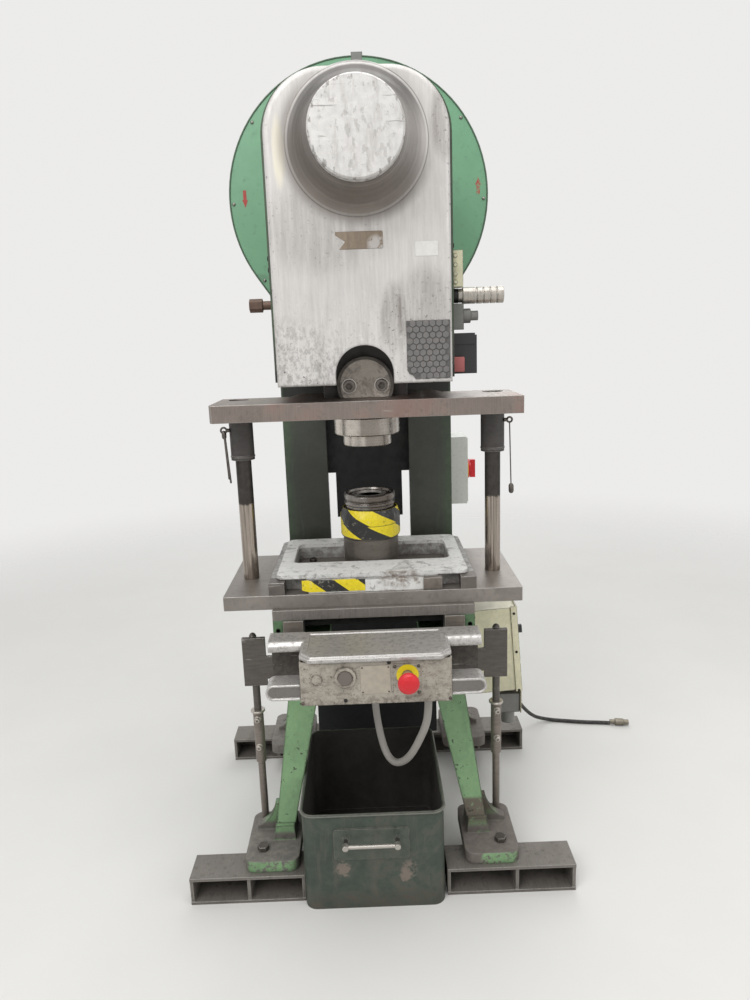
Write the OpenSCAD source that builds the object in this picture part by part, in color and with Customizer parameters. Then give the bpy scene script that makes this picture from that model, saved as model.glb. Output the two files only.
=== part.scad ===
// Eccentric stamping press with a gap frame, a two-pillar die set and a two-hand console.
// X runs to the right, Y runs to the back and Z runs up from the floor.
// The origin lies on the floor under the middle of the machine.

/* [Base] */
// Overall length across the floor skids
skid_span = 852; // [760:2:1000]
// Depth of a skid channel, front to back
skid_depth = 80; // [70:1:86]
// Height of a skid channel
skid_h = 65; // [50:1:90]
// Wall of a skid channel
skid_wall = 7; // [5:0.5:10]
// Thickness of a foot
foot_t = 27; // [20:1:34]
// Width of a foot
foot_w = 120; // [112:1:124]
// Depth of a foot, front to back
foot_d = 180; // [170:1:190]
// Diameter of a foot bolt
foot_bolt_d = 16; // [10:1:20]
// Thickness of the flange on top of a leg
leg_flange_t = 25; // [16:1:32]

/* [Frame] */
// Height of the underside of the table casting
table_base_h = 545; // [520:5:570]
// Height of the top of the table casting
table_top_h = 627; // [620:1:640]
// Width of the table and the columns
frame_w = 434; // [428:2:460]
// Wall of the frame casting
frame_wall = 28; // [20:1:30]
// Height of the underside of the press head
head_base_h = 1130; // [1120:1:1150]
// Width of the press head
head_w = 362; // [358:1:366]
// Height of the crankshaft centre
shaft_h = 1570; // [1560:1:1580]
// Thickness of the bolster plate
bolster_t = 22; // [16:1:30]

/* [Die set] */
// Width of the die set plates
die_plate_w = 642; // [630:2:660]
// Thickness of the lower die plate
lower_plate_t = 31; // [24:1:40]
// Thickness of the upper die plate
top_plate_t = 36; // [28:1:44]
// Height of the underside of the upper die plate when the press is open
top_plate_h = 1052; // [1044:1:1058]
// Diameter of a guide pillar
pillar_d = 34.6; // [30:0.2:38]
// Distance between the guide pillars
pillar_span = 556; // [548:1:564]
// Outer diameter of a guide bush
bush_d = 52; // [48:1:56]
// Running clearance round a pillar or shaft, on the radius
running_gap = 0.05; // [0.02:0.01:0.09]
// Height of the die, with its ring, above the lower die plate
die_h = 183; // [170:1:190]
// Height of the die ring
die_ring_h = 37; // [30:1:44]
// Diameter of the die ring
die_ring_d = 118; // [112:1:124]
// Length of a guide bush below the upper die plate
bush_len = 95; // [80:1:110]
// Diameter of the punch flange
punch_flange_d = 148; // [140:1:156]
// Diameter of the punch nose
punch_nose_d = 110; // [100:1:112]

/* [Drive] */
// Stroke of the ram
stroke = 80; // [60:1:90]
// Diameter of the crankshaft journals
journal_d = 90; // [80:1:96]
// Diameter of the crank pin
pin_d = 70; // [60:1:76]
// Length of the connecting rod between its centres
rod_len = 260; // [250:1:266]
// Diameter of the flywheel
flywheel_d = 620; // [560:5:640]
// Width of the flywheel rim
flywheel_w = 84; // [70:1:92]
// Radius of the belt guard over the flywheel
guard_r = 340; // [336:1:350]
// Sheet thickness of the belt guard
guard_t = 3; // [2:0.5:4]

/* [Console] */
// Width of the console housing
console_w = 294; // [270:2:310]
// Depth of the console housing
console_d = 123; // [110:1:130]
// Height of the console housing
console_h = 90; // [80:1:100]
// Diameter of the console posts
post_d = 17; // [14:0.5:20]
// Wall of a post sleeve
sleeve_wall = 3.5; // [2.5:0.5:5]
// Diameter of the emergency stop head
estop_d = 41; // [36:1:44]

/* [Scrap bin] */
// Width of the scrap bin
bin_w = 306; // [270:2:306]
// Depth of the scrap bin, front to back
bin_d = 350; // [300:5:380]
// Height of the scrap bin
bin_h = 230; // [200:2:240]
// Sheet thickness of the scrap bin
bin_t = 3; // [2:0.5:5]

/* [Hidden] */
$fn = 64;

// A small overcut that keeps cut faces clean
eps = 1;
// Clearance between flat faces that slide past each other
slide_gap = 0.3;

// Places along Y, from the front to the back
skid_front_y = -338;
foot_front_y = -325;
rear_skid_y = 241;
plate_front_y = -245;
pillar_y = -115;
ram_y = -65;
column_y = 130;
frame_back_y = 300;
guard_y = 330;
table_front_y = -255;
head_front_y = -238;
casting_front_y = -270;
post_y = -170;
console_front_y = -435;

// Heights that follow from the driving sizes
foot_top = skid_h + foot_t;
bolster_top = table_top_h + bolster_t;
lower_plate_top = bolster_top + lower_plate_t;
ram_base = top_plate_h + top_plate_t;
crank_r = stroke / 2;
pin_h = shaft_h + crank_r;
ball_h = pin_h - rod_len;

// The skids and feet
skid_left_inner_x = 172;
skid_right_inner_x = 142;
weld_gap = 0.1;
skid_rib_x = 293;
foot_x = 245;
foot_bolt_x = 268;
front_bolt_y = -282;
rear_foot_y = 158;
rear_bolt_y = rear_skid_y + skid_depth / 2;
bolt_head_h = 11;
bolt_head_d = 27;

// The legs lean outwards and away from the middle towards the floor
leg_bottom_x = [205, 245];
leg_top_x = [111, 190];
leg_bottom_y = [-250, -190];
leg_top_y = [-136, -64];
rear_leg_bottom_y = [200, 262];
rear_leg_top_y = [150, 224];
leg_flange_x = 105;
web_w = 55;
web_h = 66;
leg_tie_h = [300, 345];
leg_tie_y = [leg_top_y[0] - 14, rear_leg_top_y[0] + 50];

// The bin's handle
handle_x = 55;
handle_h = 171;
handle_r = 4.5;

// The frame
column_inner_x = 105;
flange_t = 30;
cavity_x = 150;
head_wall_y = 10;
bearing_wall = 50;
head_corner_r = 118;
head_corner_x = head_w / 2 - head_corner_r;
head_top_h = 1706;
bearing_r = 60;
slot_x = 150;
slot_base_h = 560;

// The front casting
cast_w = 348;
cast_base_h = 1122;
cast_top_h = 1700;
cast_corner_r = 115;
cast_t = head_front_y - casting_front_y;
boss_base_r = 131;
boss_neck_r = 97;
cap_r = 86;
boss_front_y = -345;
cap_front_y = -370;
arch_r = 58;
arch_spring_h = 1141;

// The ram
ram_x = 90;
ram_half_d = 75;
ram_top_h = 1400;
ram_front_y = ram_y - ram_half_d;
pocket_x = 78;
pocket_half_d = 50;
ball_r = 24;
ball_gap = 10;
ram_cap_r = 60;
ram_cap_t = 25;
ram_cap_h = 1114;
cap_screw_x = 34.5;
cap_screw_h = 1113;
gib_base_h = 1136;

// The die set
ear_back_y = -75;
plate_mid_x = 150;
plate_mid_back_y = 20;
lower_plate_back_y = 60;
pillar_top_h = top_plate_h - 12;
bush_base_h = top_plate_h - bush_len;
die_top_h = lower_plate_top + die_h;
die_body_top_h = die_top_h - die_ring_h;
die_foot_h = lower_plate_top + 80;
die_r = 67.5;
die_foot_r = 64;
die_bore_r = 40;
punch_flange_h = top_plate_h - 52;
punch_nose_h = punch_flange_h - 25;
locator_x = 222;
locator_y = [-240, 86];
locator_top_h = lower_plate_top + 36;
locator_step = 9;
clamp_x = [189, 223];
clamp_back_y = -206.5;
locator_open_x = [178, 172];
locator_open_y = [-130, 22];

// The drive
web_r = 92;
pin_y = [-97, -33];
web_front_y = -120;
web_back_y = -8;
seat_r = 35;
brake_y = [110, 150];
brake_r = 80;
shaft_end_y = 446;
flywheel_y = 346;
motor_h = 1150;
motor_r = 78;
motor_y = [176, 322];
pulley_r = 62;
pulley_w = 56;
guard_low_r = 105;
guard_lug_x = 120;
guard_lug_h = shaft_h - 70;
shelf_x = 86;
shelf_plate_x = 140;
shelf_t = 10;
shelf_plate_h = [shaft_h - 820, motor_h - 281, motor_h + 90];
back_sheet_x = 165;
back_sheet_y = rear_leg_top_y[0] - 4;
back_sheet_base_h = 125;
guard_depth = 155;
belt_y = [372, 396];
belt_w = 13;
belt_h = 10;

// The console
console_back_y = console_front_y + console_d;
console_base_h = 520;
console_top_h = console_base_h + console_h;
cover_t = 12;
cover_top_h = console_top_h + cover_t;
arm_x = 215;
arm_y = [-365, -312];
arm_t = 20;
pad_y = [-430, -385];
pad_h = [530, 562];
pad_travel = 6;
post_x = 277;
sleeve_h = [263, 377];
lower_post_top = 270;
upper_post_base = 312;
upper_post_top = 560;
shield_x = [248, 300];
shield_h = [445, 560];
crossbar_h = [461, 515];
bracket_t = 8;
estop_x = 61;
button_x = -59;
button_h = 578;
button_r = 20;

// The boxes on the right side
box_tilt = 4;
side_x = frame_w / 2;
box_x = [side_x + 19, side_x + 137];
box_y = [-20, 180];
box_h = [318, 540];
box_bracket_y = [20, 140];
box_bracket_h = [box_h[1] - 40, box_h[1] - 4];
knob_y = 20;
knob_h = 466;
switch_x = [side_x - 4, side_x + 45];
switch_y = [196, 300];
switch_h = [766, 946];
switch_knob_y = 240;
switch_knob_h = 854;
unit_y = [-16, 44];
unit_h = [262, 313];
bowl_y = 12;
outlet_h = 284;

// The route of the grey conduit, which hangs in a loop under the console
conduit_r = 8;
conduit_pts = [
    [104, -375, 506], [104, -376, 480], [100, -370, 440], [88, -352, 395], [70, -328, 345],
    [52, -306, 314], [34, -288, 302], [18, -270, 312], [6, -250, 345], [-2, -234, 395],
    [-4, -224, 438], [-4, -218, 458], [-4, -217, 470]
];

// The route of the air hose, which drops to the floor and lies there, from the frame's side
hose_r = 5.5;
hose_pts = [
    [129, 50, 284], [130, 80, 283], [139, 130, 270], [157, 190, 232], [185, 252, 172],
    [217, 302, 112], [247, 340, 66], [277, 372, 32], [311, 392, 12], [345, 392, 6],
    [385, 383, 6], [428, 374, 6], [471, 368, 6], [508, 362, 6]
];
coupling_end = [567, 353, 11];

// A box between two corners
module block(a, b) {
    translate(a) cube(b - a);
}

// A cylinder along Y between two places
module y_rod(x, h, y0, y1, r) {
    translate([x, y1, h]) rotate([90, 0, 0]) cylinder(h = y1 - y0, r = r);
}

// A cylinder along X between two places
module x_rod(x0, x1, y, h, r) {
    translate([x0, y, h]) rotate([0, 90, 0]) cylinder(h = x1 - x0, r = r);
}

// A cylinder along Z between two heights
module z_rod(x, y, h0, h1, r) {
    translate([x, y, h0]) cylinder(h = h1 - h0, r = r);
}

// A profile drawn in X and Z, given a thickness along Y
module y_plate(y0, y1) {
    translate([0, y1, 0]) rotate([90, 0, 0]) linear_extrude(y1 - y0) children();
}

// A rectangle with round corners
module round_rect(x0, x1, y0, y1, r) {
    translate([x0 + r, y0]) square([x1 - x0 - 2 * r, y1 - y0]);
    translate([x0, y0 + r]) square([x1 - x0, y1 - y0 - 2 * r]);
    for (x = [x0 + r, x1 - r], y = [y0 + r, y1 - r])
        translate([x, y]) circle(r);
}

// A copy of a piece on each side of the middle
module both_sides() {
    children();
    mirror([1, 0, 0]) children();
}

// The arched outline of the press head and its front casting
module arch_profile(w, base, top, r) {
    translate([-w / 2, base]) square([w, top - r - base]);
    translate([-(w / 2 - r), top - r - eps]) square([w - 2 * r, r + eps]);
    for (s = [-1, 1])
        translate([s * (w / 2 - r), top - r]) circle(r);
}

// A closed tube swept along a list of points
function unit(v) = v / norm(v);
function along(p, i) =
    i == 0 ? unit(p[1] - p[0]) :
    i == len(p) - 1 ? unit(p[i] - p[i - 1]) : unit(unit(p[i + 1] - p[i]) + unit(p[i] - p[i - 1]));
function side_of(t) = unit(cross(t, abs(t[2]) > 0.9 ? [0, 1, 0] : [0, 0, 1]));
function carried(u, t) = unit(u - (u * t) * t);
function sides(p) = [
    for (i = 0, u = side_of(along(p, 0)); i < len(p);
        i = i + 1, u = i < len(p) ? carried(u, along(p, i)) : u) u
];
function curve_point(p, i, f) =
    let (a = p[max(i - 1, 0)], b = p[i], c = p[i + 1], d = p[min(i + 2, len(p) - 1)])
    0.5 * (2 * b + (c - a) * f + (2 * a - 5 * b + 4 * c - d) * f * f + (3 * b - a - 3 * c + d) * f * f * f);
function smooth(p, n) = concat(
    [for (i = [0 : len(p) - 2], k = [0 : n - 1]) curve_point(p, i, k / n)], [p[len(p) - 1]]);

module tube(route, r, n = 8) {
    p = smooth(route, 2);
    u = sides(p);
    count = len(p);
    points = [
        for (i = [0 : count - 1], k = [0 : n - 1])
            let (t = along(p, i), v = cross(t, u[i]), a = 360 * k / n)
            p[i] + r * (cos(a) * u[i] + sin(a) * v)
    ];
    walls = [
        for (i = [0 : count - 2], k = [0 : n - 1])
            let (a = i * n + k, b = i * n + (k + 1) % n) [a, b, b + n, a + n]
    ];
    start = [for (k = [n - 1 : -1 : 0]) k];
    finish = [for (k = [0 : n - 1]) (count - 1) * n + k];
    polyhedron(points, concat([[for (k = [0 : n - 1]) start[n - 1 - k]]],
        [for (w = walls) [w[3], w[2], w[1], w[0]]], [[for (k = [n - 1 : -1 : 0]) finish[k]]]));
}

// One length of channel, open to the front, with ribs across it
module skid(x0, x1, y0, ribs) {
    difference() {
        block([x0, y0, 0], [x1, y0 + skid_depth, skid_h]);
        block([x0 - eps, y0 - eps, skid_wall],
            [x1 + eps, y0 + skid_depth - skid_wall, skid_h - skid_wall]);
    }
    for (x = ribs)
        block([x, y0 + 2, skid_wall + weld_gap],
            [x + skid_wall, y0 + skid_depth - skid_wall - weld_gap, skid_h - skid_wall - weld_gap]);
}

// One front skid on the right, from its inner end to the outer one
module front_skid(inner_x) {
    half = skid_span / 2;
    difference() {
        skid(inner_x, half, skid_front_y, [inner_x, skid_rib_x, half - skid_wall]);
        z_rod(foot_bolt_x, front_bolt_y, skid_h / 2, skid_h + eps, foot_bolt_d / 2);
    }
}

// The two front skids. The right one reaches further in, up to the bin
module front_skids() {
    color([0.20, 0.19, 0.18]) {
        front_skid(skid_right_inner_x);
        mirror([1, 0, 0]) front_skid(skid_left_inner_x);
    }
}

module rear_skid() {
    half = skid_span / 2;
    color([0.20, 0.19, 0.18])
        difference() {
            skid(-half, half, rear_skid_y,
                [-half, -skid_rib_x - skid_wall, skid_rib_x, half - skid_wall]);
            for (s = [-1, 1])
                z_rod(s * foot_bolt_x, rear_bolt_y, skid_h / 2, skid_h + eps, foot_bolt_d / 2);
        }
}

// One foot plate with round corners and a raised shoulder that runs up into the leg
module foot(y0, leg_y) {
    x0 = foot_x - foot_w / 2;
    translate([0, 0, skid_h]) linear_extrude(foot_t)
        round_rect(x0, x0 + foot_w, y0, y0 + foot_d, 22);
    hull() {
        block([leg_bottom_x[0] - 8, leg_y[0] - 4, foot_top - 1],
            [leg_bottom_x[1] + 4, leg_y[1] + 4, foot_top]);
        block([leg_bottom_x[0] - 6, leg_y[0] - 2, foot_top + 34],
            [leg_bottom_x[1] - 3, leg_y[1] + 2, foot_top + 35]);
    }
    web(leg_y[1] - 22, leg_y[1]);
}

// The web from the leg's outer side down to the foot plate, hollowed by a large radius
module web(y0, y1) {
    x = leg_bottom_x[1] - 10;
    difference() {
        block([x, y0, foot_top - 1], [x + web_w, y1, foot_top + web_h]);
        translate([x + web_w + 10, y0 - eps, foot_top + web_h + 10]) rotate([-90, 0, 0])
            scale([web_w, web_h, 1]) cylinder(h = y1 - y0 + 2 * eps, r = 1);
    }
}

// One slanting bar from a foot up to the flange under the table
module leg_bar(bottom_y, top_y) {
    top = table_base_h - leg_flange_t;
    hull() {
        block([leg_bottom_x[0], bottom_y[0], foot_top - 1],
            [leg_bottom_x[1], bottom_y[1], foot_top]);
        block([leg_top_x[0], top_y[0], top], [leg_top_x[1], top_y[1], top + 1]);
    }
}

module leg() {
    color([0.38, 0.56, 0.38]) difference() {
        union() {
            foot(foot_front_y, leg_bottom_y);
            foot(rear_foot_y, rear_leg_bottom_y);
            leg_bar(leg_bottom_y, leg_top_y);
            leg_bar(rear_leg_bottom_y, rear_leg_top_y);
            block([leg_flange_x, table_front_y + 10, table_base_h - leg_flange_t],
                [frame_w / 2, frame_back_y, table_base_h]);
            block([166, leg_tie_y[0], leg_tie_h[0]], [190, leg_tie_y[1], leg_tie_h[1]]);
        }
        for (y = [front_bolt_y, rear_bolt_y])
            z_rod(foot_bolt_x, y, skid_h - eps, foot_top + 40, foot_bolt_d / 2);
        for (y = [front_bolt_y, rear_bolt_y])
            z_rod(foot_bolt_x, y, foot_top, foot_top + 60, bolt_head_d / 2 + 2);
    }
}

module right_leg() {
    leg();
}

module left_leg() {
    mirror([1, 0, 0]) leg();
}

module foot_bolts() {
    color([0.30, 0.29, 0.27])
        for (s = [-1, 1], y = [front_bolt_y, rear_bolt_y]) {
            translate([s * foot_bolt_x, y, foot_top]) cylinder(h = bolt_head_h, d = bolt_head_d, $fn = 6);
            z_rod(s * foot_bolt_x, y, skid_h - skid_wall, foot_top + 1, foot_bolt_d / 2);
        }
}

// The open scrap bin, with a rolled rim, a holder plate and a bar handle on its front
module scrap_bin() {
    x0 = -18 - bin_w / 2;
    x1 = x0 + bin_w;
    y0 = -365;
    y1 = y0 + bin_d;
    mid = (x0 + x1) / 2 - 4;
    color([0.20, 0.25, 0.22]) {
        difference() {
            linear_extrude(bin_h) round_rect(x0, x1, y0, y1, 26);
            translate([0, 0, bin_t]) linear_extrude(bin_h)
                round_rect(x0 + bin_t, x1 - bin_t, y0 + bin_t, y1 - bin_t, 26 - bin_t);
        }
        translate([0, 0, bin_h - 6]) linear_extrude(6) difference() {
            round_rect(x0 - 2, x1 + 2, y0 - 2, y1 + 2, 28);
            round_rect(x0 + 1, x1 - 1, y0 + 1, y1 - 1, 25);
        }
        y_plate(y0 - 3, y0 + 1) round_rect(mid - 81, mid + 81, 122, 196, 7);
        for (s = [-1, 1]) {
            y_rod(mid + s * handle_x, handle_h, y0 - 27, y0 + 1, handle_r);
            y_rod(mid + s * handle_x, handle_h, y0 - 5, y0 + 1, handle_r + 4);
            y_rod(mid + s * handle_x, handle_h, y0 - 33, y0 - 21, handle_r + 2);
        }
        x_rod(mid - handle_x, mid + handle_x, y0 - 27, handle_h, handle_r);
    }
}

// The gap frame, one casting with a table, two columns and the press head
module frame() {
    half = frame_w / 2;
    head = head_w / 2;
    color([0.30, 0.44, 0.31]) difference() {
        union() {
            block([-half, table_front_y, table_base_h], [half, frame_back_y, table_top_h]);
            both_sides() {
                block([column_inner_x, column_y, table_top_h - eps],
                    [half - 4, column_y + flange_t, 1450]);
                block([half - 4 - frame_wall, column_y, table_top_h - eps],
                    [half - 4, frame_back_y, 1450]);
            }
            y_plate(head_front_y, frame_back_y)
                arch_profile(head_w, head_base_h, head_top_h, head_corner_r);
        }
        block([-half + 20, table_front_y + 22, table_base_h - eps],
            [half - 20, frame_back_y - 22, table_top_h - 22]);
        block([-slot_x, table_front_y - eps, slot_base_h], [slot_x, table_front_y + 23, table_top_h + eps]);
        z_rod(0, ram_y, table_base_h, table_top_h + eps, 52);
        y_plate(head_front_y - eps, head_wall_y)
            arch_profile(2 * cavity_x, head_base_h - eps, head_top_h - 26, 96);
        y_plate(head_wall_y + bearing_wall, frame_back_y - bearing_wall)
            arch_profile(2 * cavity_x, head_base_h - eps, head_top_h - 26, 96);
        block([-column_inner_x, column_y - eps, head_base_h - eps],
            [column_inner_x, frame_back_y + eps, 1400]);
        y_rod(0, shaft_h, head_wall_y - eps, frame_back_y + eps, bearing_r);
        both_sides()
            block([column_inner_x, column_y + flange_t, head_base_h - eps],
                [half - 4 - frame_wall, frame_back_y + eps, 1400]);
    }
}

module bolster() {
    color([0.33, 0.31, 0.29]) difference() {
        block([-frame_w / 2, table_front_y, table_top_h],
            [frame_w / 2, column_y - slide_gap, bolster_top]);
        z_rod(0, ram_y, table_top_h - eps, bolster_top + eps, 48);
    }
}

module lower_die_plate() {
    half = die_plate_w / 2;
    color([0.42, 0.39, 0.37]) difference() {
        block([-half, plate_front_y, bolster_top], [half, lower_plate_back_y, lower_plate_top]);
        z_rod(0, ram_y, bolster_top - eps, lower_plate_top + eps, die_bore_r);
        for (s = [-1, 1])
            z_rod(s * pillar_span / 2, pillar_y, bolster_top - eps, lower_plate_top + eps, pillar_d / 2);
    }
}

module guide_pillars() {
    color([0.62, 0.60, 0.57]) for (s = [-1, 1])
        z_rod(s * pillar_span / 2, pillar_y, bolster_top, pillar_top_h, pillar_d / 2);
}

// The die body, turned in steps, with the scrap bore through it
module die_body() {
    color([0.40, 0.38, 0.36]) translate([0, ram_y, 0]) rotate_extrude() polygon([
        [die_bore_r, lower_plate_top], [die_foot_r, lower_plate_top], [die_foot_r, die_foot_h],
        [die_r, die_foot_h + 4], [die_r, die_body_top_h - 12], [die_r - 6, die_body_top_h],
        [die_bore_r, die_body_top_h]
    ]);
}

module die_ring() {
    r = die_ring_d / 2;
    color([0.55, 0.54, 0.52]) translate([0, ram_y, 0]) rotate_extrude() polygon([
        [die_bore_r, die_body_top_h], [r - 3, die_body_top_h], [r - 3, die_top_h - 27],
        [r - 1, die_top_h - 25], [r - 1, die_top_h - 21], [r - 4, die_top_h - 18],
        [r - 1, die_top_h - 14], [r, die_top_h - 11], [r, die_top_h - 3], [r - 3, die_top_h],
        [r - 8, die_top_h], [r - 10, die_top_h - 5], [die_bore_r, die_top_h - 8]
    ]);
}

// The cast frame that locates the blank round the die
module locating_frame() {
    color([0.82, 0.82, 0.80]) difference() {
        translate([0, 0, lower_plate_top]) linear_extrude(locator_top_h - lower_plate_top) difference() {
            round_rect(-locator_x, locator_x, locator_y[0], locator_y[1], 14);
            round_rect(-locator_open_x[0], locator_open_x[0], locator_open_y[0], locator_open_y[1], 16);
        }
        both_sides() translate([0, 0, lower_plate_top - eps])
            linear_extrude(locator_top_h - lower_plate_top - 8 + eps) {
                translate([170, locator_y[0] - eps]) square([locator_x - 169, 34 + eps]);
                translate([172, locator_y[0]]) circle(34);
            }
        block([-locator_x - eps, locator_y[0] - eps, locator_top_h - locator_step],
            [locator_x + eps, locator_y[0] + 17, locator_top_h + eps]);
        difference() {
            translate([0, 0, locator_top_h - locator_step]) linear_extrude(locator_step + eps)
                round_rect(-locator_x - eps, locator_x + eps, locator_y[0] - eps, locator_y[1] + eps, 14);
            translate([0, 0, locator_top_h - locator_step - eps]) linear_extrude(locator_step + 3 * eps)
                round_rect(-locator_x + 14, locator_x - 14, locator_y[0] + 14, locator_y[1] - 14, 18);
        }
    }
}

module frame_clamps() {
    color([0.36, 0.34, 0.33]) both_sides()
        block([clamp_x[0], plate_front_y + 1, lower_plate_top],
            [clamp_x[1], clamp_back_y, locator_top_h - 9]);
}

// The front casting, with soft edges, the flared shaft boss and the arch over the ram
module front_casting() {
    color([0.80, 0.79, 0.77]) difference() {
        union() {
            y_plate(casting_front_y + 8, head_front_y)
                arch_profile(cast_w, cast_base_h, cast_top_h, cast_corner_r);
            hull() {
                y_plate(casting_front_y + 7.5, casting_front_y + 8.5)
                    arch_profile(cast_w, cast_base_h, cast_top_h, cast_corner_r);
                y_plate(casting_front_y + 3, casting_front_y + 3.5)
                    arch_profile(cast_w - 5, cast_base_h + 1, cast_top_h - 2.5, cast_corner_r - 2.5);
                y_plate(casting_front_y, casting_front_y + 0.5)
                    arch_profile(cast_w - 18, cast_base_h + 3, cast_top_h - 9, cast_corner_r - 9);
            }
            translate([0, casting_front_y + 1, shaft_h]) rotate([90, 0, 0]) rotate_extrude() polygon([
                [0, 0], [boss_base_r + 5, 0], [boss_base_r, 2], [boss_base_r - 11, 7],
                [boss_base_r - 19, 15], [boss_base_r - 25, 26], [boss_neck_r + 4, 42], [boss_neck_r, 58],
                [boss_neck_r - 3, 70], [boss_neck_r - 7, casting_front_y - boss_front_y + 1],
                [0, casting_front_y - boss_front_y + 1]
            ]);
        }
        y_rod(0, shaft_h, boss_front_y - eps, head_front_y + eps, bearing_r);
        y_plate(casting_front_y - eps, head_front_y + eps) {
            translate([-arch_r, cast_base_h - eps])
                square([2 * arch_r, arch_spring_h - cast_base_h + eps]);
            translate([0, arch_spring_h]) circle(arch_r);
        }
    }
}

module front_cap() {
    color([0.86, 0.85, 0.83]) translate([0, boss_front_y, shaft_h]) rotate([90, 0, 0])
        rotate_extrude() polygon([
            [0, 0], [cap_r, 0], [cap_r, boss_front_y - cap_front_y - 3],
            [cap_r - 3, boss_front_y - cap_front_y], [0, boss_front_y - cap_front_y]
        ]);
}

module bearing_bushes() {
    bore = journal_d / 2 + running_gap;
    color([0.65, 0.50, 0.28])
        for (span = [[boss_front_y, head_front_y], [head_wall_y, head_wall_y + bearing_wall],
            [frame_back_y - bearing_wall, frame_back_y]])
            difference() {
                y_rod(0, shaft_h, span[0], span[1], bearing_r);
                y_rod(0, shaft_h, span[0] - eps, span[1] + eps, bore);
            }
}

// The two guides that hold the ram from the side
module ram_gibs() {
    color([0.40, 0.38, 0.34]) both_sides() difference() {
        block([ram_x + slide_gap, ram_front_y - 8, gib_base_h],
            [cavity_x, head_wall_y, ram_top_h - 10]);
        block([ram_x - eps, ram_front_y + 40, gib_base_h - eps],
            [ram_x + 12, head_wall_y - 40, ram_top_h]);
    }
}

// The ribbed rubber pad on the front casting, with one torn corner
module grip_pad() {
    color([0.36, 0.36, 0.37]) y_plate(casting_front_y - 3, casting_front_y)
        difference() {
            translate([84, 1130]) square([cast_w / 2 - 12 - 84, 112]);
            polygon([[83, 1129], [100, 1129], [94, 1138], [83, 1146]]);
        }
}

module brake_band() {
    r = brake_r + slide_gap;
    color([0.25, 0.24, 0.23]) difference() {
        union() {
            y_rod(0, shaft_h, brake_y[0] + 4, brake_y[1] - 4, r + 6);
            block([r - 2, brake_y[0] + 4, shaft_h - 6], [cavity_x, brake_y[1] - 4, shaft_h + 6]);
        }
        y_rod(0, shaft_h, brake_y[0], brake_y[1], r);
    }
}

// The keyhole outline of the belt guard, from the flywheel down to the motor pulley
module guard_profile(grow) {
    keyhole(guard_r + grow, guard_low_r + grow);
}

// Two circles joined by their outer tangents
module keyhole(big, low) {
    hull() {
        translate([0, shaft_h]) circle(big, $fn = 128);
        translate([0, motor_h]) circle(low, $fn = 64);
    }
}

module guard_front() {
    color([0.45, 0.68, 0.50]) difference() {
        y_plate(guard_y, guard_y + guard_t) guard_profile(0);
        y_rod(0, shaft_h, guard_y - eps, guard_y + guard_t + eps, bearing_r + 6);
        y_rod(0, motor_h, guard_y - eps, guard_y + guard_t + eps, 34);
    }
    color([0.45, 0.68, 0.50]) for (s = [-1, 1])
        block([s * guard_lug_x - 20, frame_back_y, guard_lug_h],
            [s * guard_lug_x + 20, guard_y, guard_lug_h + 30]);
}

module guard_cover() {
    y0 = guard_y + guard_t;
    y1 = guard_y + guard_depth;
    color([0.42, 0.64, 0.47]) difference() {
        y_plate(y0, y1) guard_profile(0);
        y_plate(y0 - eps, y1 - guard_t) guard_profile(-guard_t);
    }
}

module lifting_block() {
    color([0.48, 0.47, 0.45]) difference() {
        block([-5, -170, head_top_h], [17, -130, 1752]);
        x_rod(-6, 18, -150, 1732, 7);
    }
}

// The drive motor, with cooling fins, feet and a terminal box
module motor() {
    color([0.22, 0.24, 0.25]) {
        y_rod(0, motor_h, motor_y[0], motor_y[1], motor_r - 10);
        for (k = [0 : 11])
            translate([0, 0, motor_h]) rotate([0, 30 * k + 15, 0])
                block([motor_r - 12, motor_y[0] + 24, -2], [motor_r, motor_y[1] - 20, 2]);
        y_rod(0, motor_h, motor_y[1] - 18, motor_y[1], motor_r);
        y_rod(0, motor_h, motor_y[0], motor_y[0] + 22, motor_r);
        block([-60, motor_y[0] + 30, motor_h - motor_r - 8], [60, motor_y[1] - 25, motor_h - 55]);
        block([-34, motor_y[0] + 36, motor_h + 50], [34, motor_y[0] + 100, motor_h + motor_r + 20]);
    }
}

// The black plate behind the columns, with the shelf that carries the motor, and the
// black back sheet that hangs between the rear legs
module motor_bracket() {
    shelf = motor_h - motor_r - 8;
    y = column_y + flange_t;
    h = shelf_plate_h;
    color([0.10, 0.10, 0.11]) {
        block([-shelf_x, y, h[0]], [shelf_x, y + shelf_t, h[1] + eps]);
        block([-shelf_plate_x, y, h[1]], [shelf_plate_x, y + shelf_t, h[2]]);
        block([-shelf_x, y + shelf_t - eps, shelf - shelf_t], [shelf_x, motor_y[1] - 6, shelf]);
        for (x = [-shelf_x, shelf_x - 8])
            translate([x, 0, 0]) rotate([90, 0, 90]) linear_extrude(8) polygon([
                [y + shelf_t - eps, shelf - shelf_t + eps], [motor_y[1] - 20, shelf - shelf_t + eps],
                [y + shelf_t - eps, shelf - 120]
            ]);
        block([-back_sheet_x, back_sheet_y, back_sheet_base_h],
            [back_sheet_x, back_sheet_y + 3, table_base_h - leg_flange_t]);
        block([-leg_flange_x, back_sheet_y, table_base_h - leg_flange_t - eps],
            [leg_flange_x, back_sheet_y + 3, table_base_h]);
    }
}

module oil_pipe() {
    color([0.36, 0.28, 0.24]) {
        x_rod(-head_w / 2 - 29, -head_w / 2, -150, 1285, 9);
        translate([-head_w / 2 - 54, -150, 1285]) rotate([0, 90, 0]) cylinder(h = 27, d = 28, $fn = 6);
    }
}

module side_block() {
    color([0.78, 0.75, 0.66]) {
        block([head_w / 2, -168, 1308], [head_w / 2 + 28, -120, 1381]);
        for (h = [1318, 1334, 1352, 1370])
            y_rod(head_w / 2 + 12, h, -172, -167, 4);
    }
}

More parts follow.
